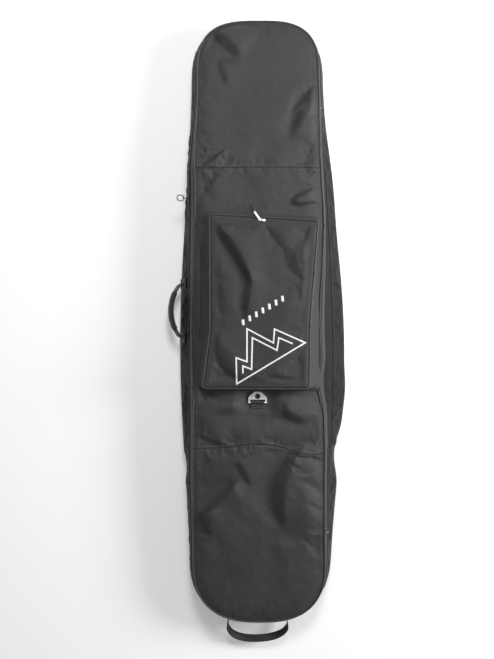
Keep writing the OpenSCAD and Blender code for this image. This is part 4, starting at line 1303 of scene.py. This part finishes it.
def keep_cad_parts():
    """Metal parts, cords and the base's foam keep the CAD shape."""
    kept = [(node, ENAMEL if node.startswith("main_slider") else NICKEL, "nickel") for node in METAL_PARTS]
    kept += [(f"{zipper}_pull_cord", CORD, "cord") for zipper in ("main", "pocket")]
    kept.append(("base_foam", FOAM, "foam"))
    for node, mat, slot in kept:
        obj = frame["nodes"][node]
        obj.data.materials.clear()
        obj.data.materials.append(mat)
        if slot == "nickel":
            edge = obj.modifiers.new("soft_edges", "BEVEL")
            edge.width, edge.segments, edge.limit_method = 0.35 * MM, 3, "ANGLE"
            edge.angle_limit = math.radians(35)
        if slot != "foam":
            obj.data.polygons.foreach_set("use_smooth", [True] * len(obj.data.polygons))


def tab_loop():
    """Webbing round the accessory tab's bar, its tail sewn to the lid."""
    low, high = box_mm("tab_web_loop")
    _, y, z = joint_place("accessory_tab_hinge")
    x, r = (low[0] + high[0]) / 2, 2.75
    turn = np.linspace(-0.5 * np.pi, 1.05 * np.pi, 26)
    round_bar = np.stack([0 * turn + x, y + r * np.cos(turn), z + r * np.sin(turn)], 1)
    under = [(x, y - 15, LID_H + 1.9), (x, y - 6, LID_H + 1.4), (x, y - 1.5, z - r + 0.1)]
    over = [(x, y - 4.6, LID_H + 2.8), (x, y - 8, LID_H + 2.9), (x, y - 15, LID_H + 3)]
    path, ex = resample(np.concatenate([under, round_bar, over]), 0.9), np.array([1, 0, 0])
    fit(webbing("tab_web_loop_strap", path, ex, 36, 1, edge=0.5), "lid", "webbing", "tab_web_loop")
    box_stitch("tab_loop_stitches", np.array([x, y - 10, LID_H + 3.6]), ex, ALONG_Y, 15, 3.6, "lid")


# ----- Building -----

LID_DRAPE = settle_flat(np.arange(-189, 190, 8), np.arange(TAIL, NOSE, 8), lid_pinned, 0.6, 0.03, 4.5)
FRONT_DRAPE = settle_flat(np.arange(-162, 163, 7), np.arange(-184, 292, 7), front_pinned,
                          0.5, 0.025, 4)
WALL_DRAPE = settle_walls()
for build in (lid_panels, lid_piping, lid_side_band, side_gusset, hinge_cloth, back, main_zipper,
              pocket_walls, pocket_front, pocket_piping, pocket_zipper, printed_peaks, seam_stitches,
              side_handle, side_grip, tail_handle, layers, keep_cad_parts, tab_loop):
    build()


# ----- Floor, light and camera -----

def linked(name, data, place):
    obj = bpy.data.objects.new(name, data)
    obj.location = place
    scene.collection.objects.link(obj)
    return obj


scene = bpy.context.scene
paint = Finish("pale_floor", roughness=0.9, specular=0)
for name, value in (("Base Color", tone(0.93)), ("Emission Color", tone(1)), ("Emission Strength", 0.2)):
    paint.set(name, value)
bpy.ops.mesh.primitive_plane_add(size=30, location=(0, 0, -0.0004))
floor = bpy.context.object
floor.name = "studio_floor"
floor.data.materials.append(paint.mat)

scene.world = bpy.data.worlds.new("studio_world")
scene.world.use_nodes = True
background = scene.world.node_tree.nodes["Background"]
background.inputs["Color"].default_value = (0.97, 0.985, 1, 1)
background.inputs["Strength"].default_value = 0.18
scene.view_settings.view_transform = "Standard"
for name, place, size, power in (("key_light", (0.1, 1.5, 2.1), 0.8, 34),
                                 ("side_light", (2.8, 0.3, 1.35), 1.2, 98),
                                 ("fill_light", (-1.2, -1.5, 2.6), 2.4, 8)):
    light = bpy.data.lights.new(name, "AREA")
    light.shape, light.size, light.energy = "DISK", size, power
    linked(name, light, place).rotation_euler = (-Vector(place)).to_track_quat("-Z", "Y").to_euler()

lens = bpy.data.cameras.new("camera")
lens.lens, lens.sensor_width = 41.29, 36
scene.camera = linked("camera", lens, (-0.035, -0.021, 2.1))
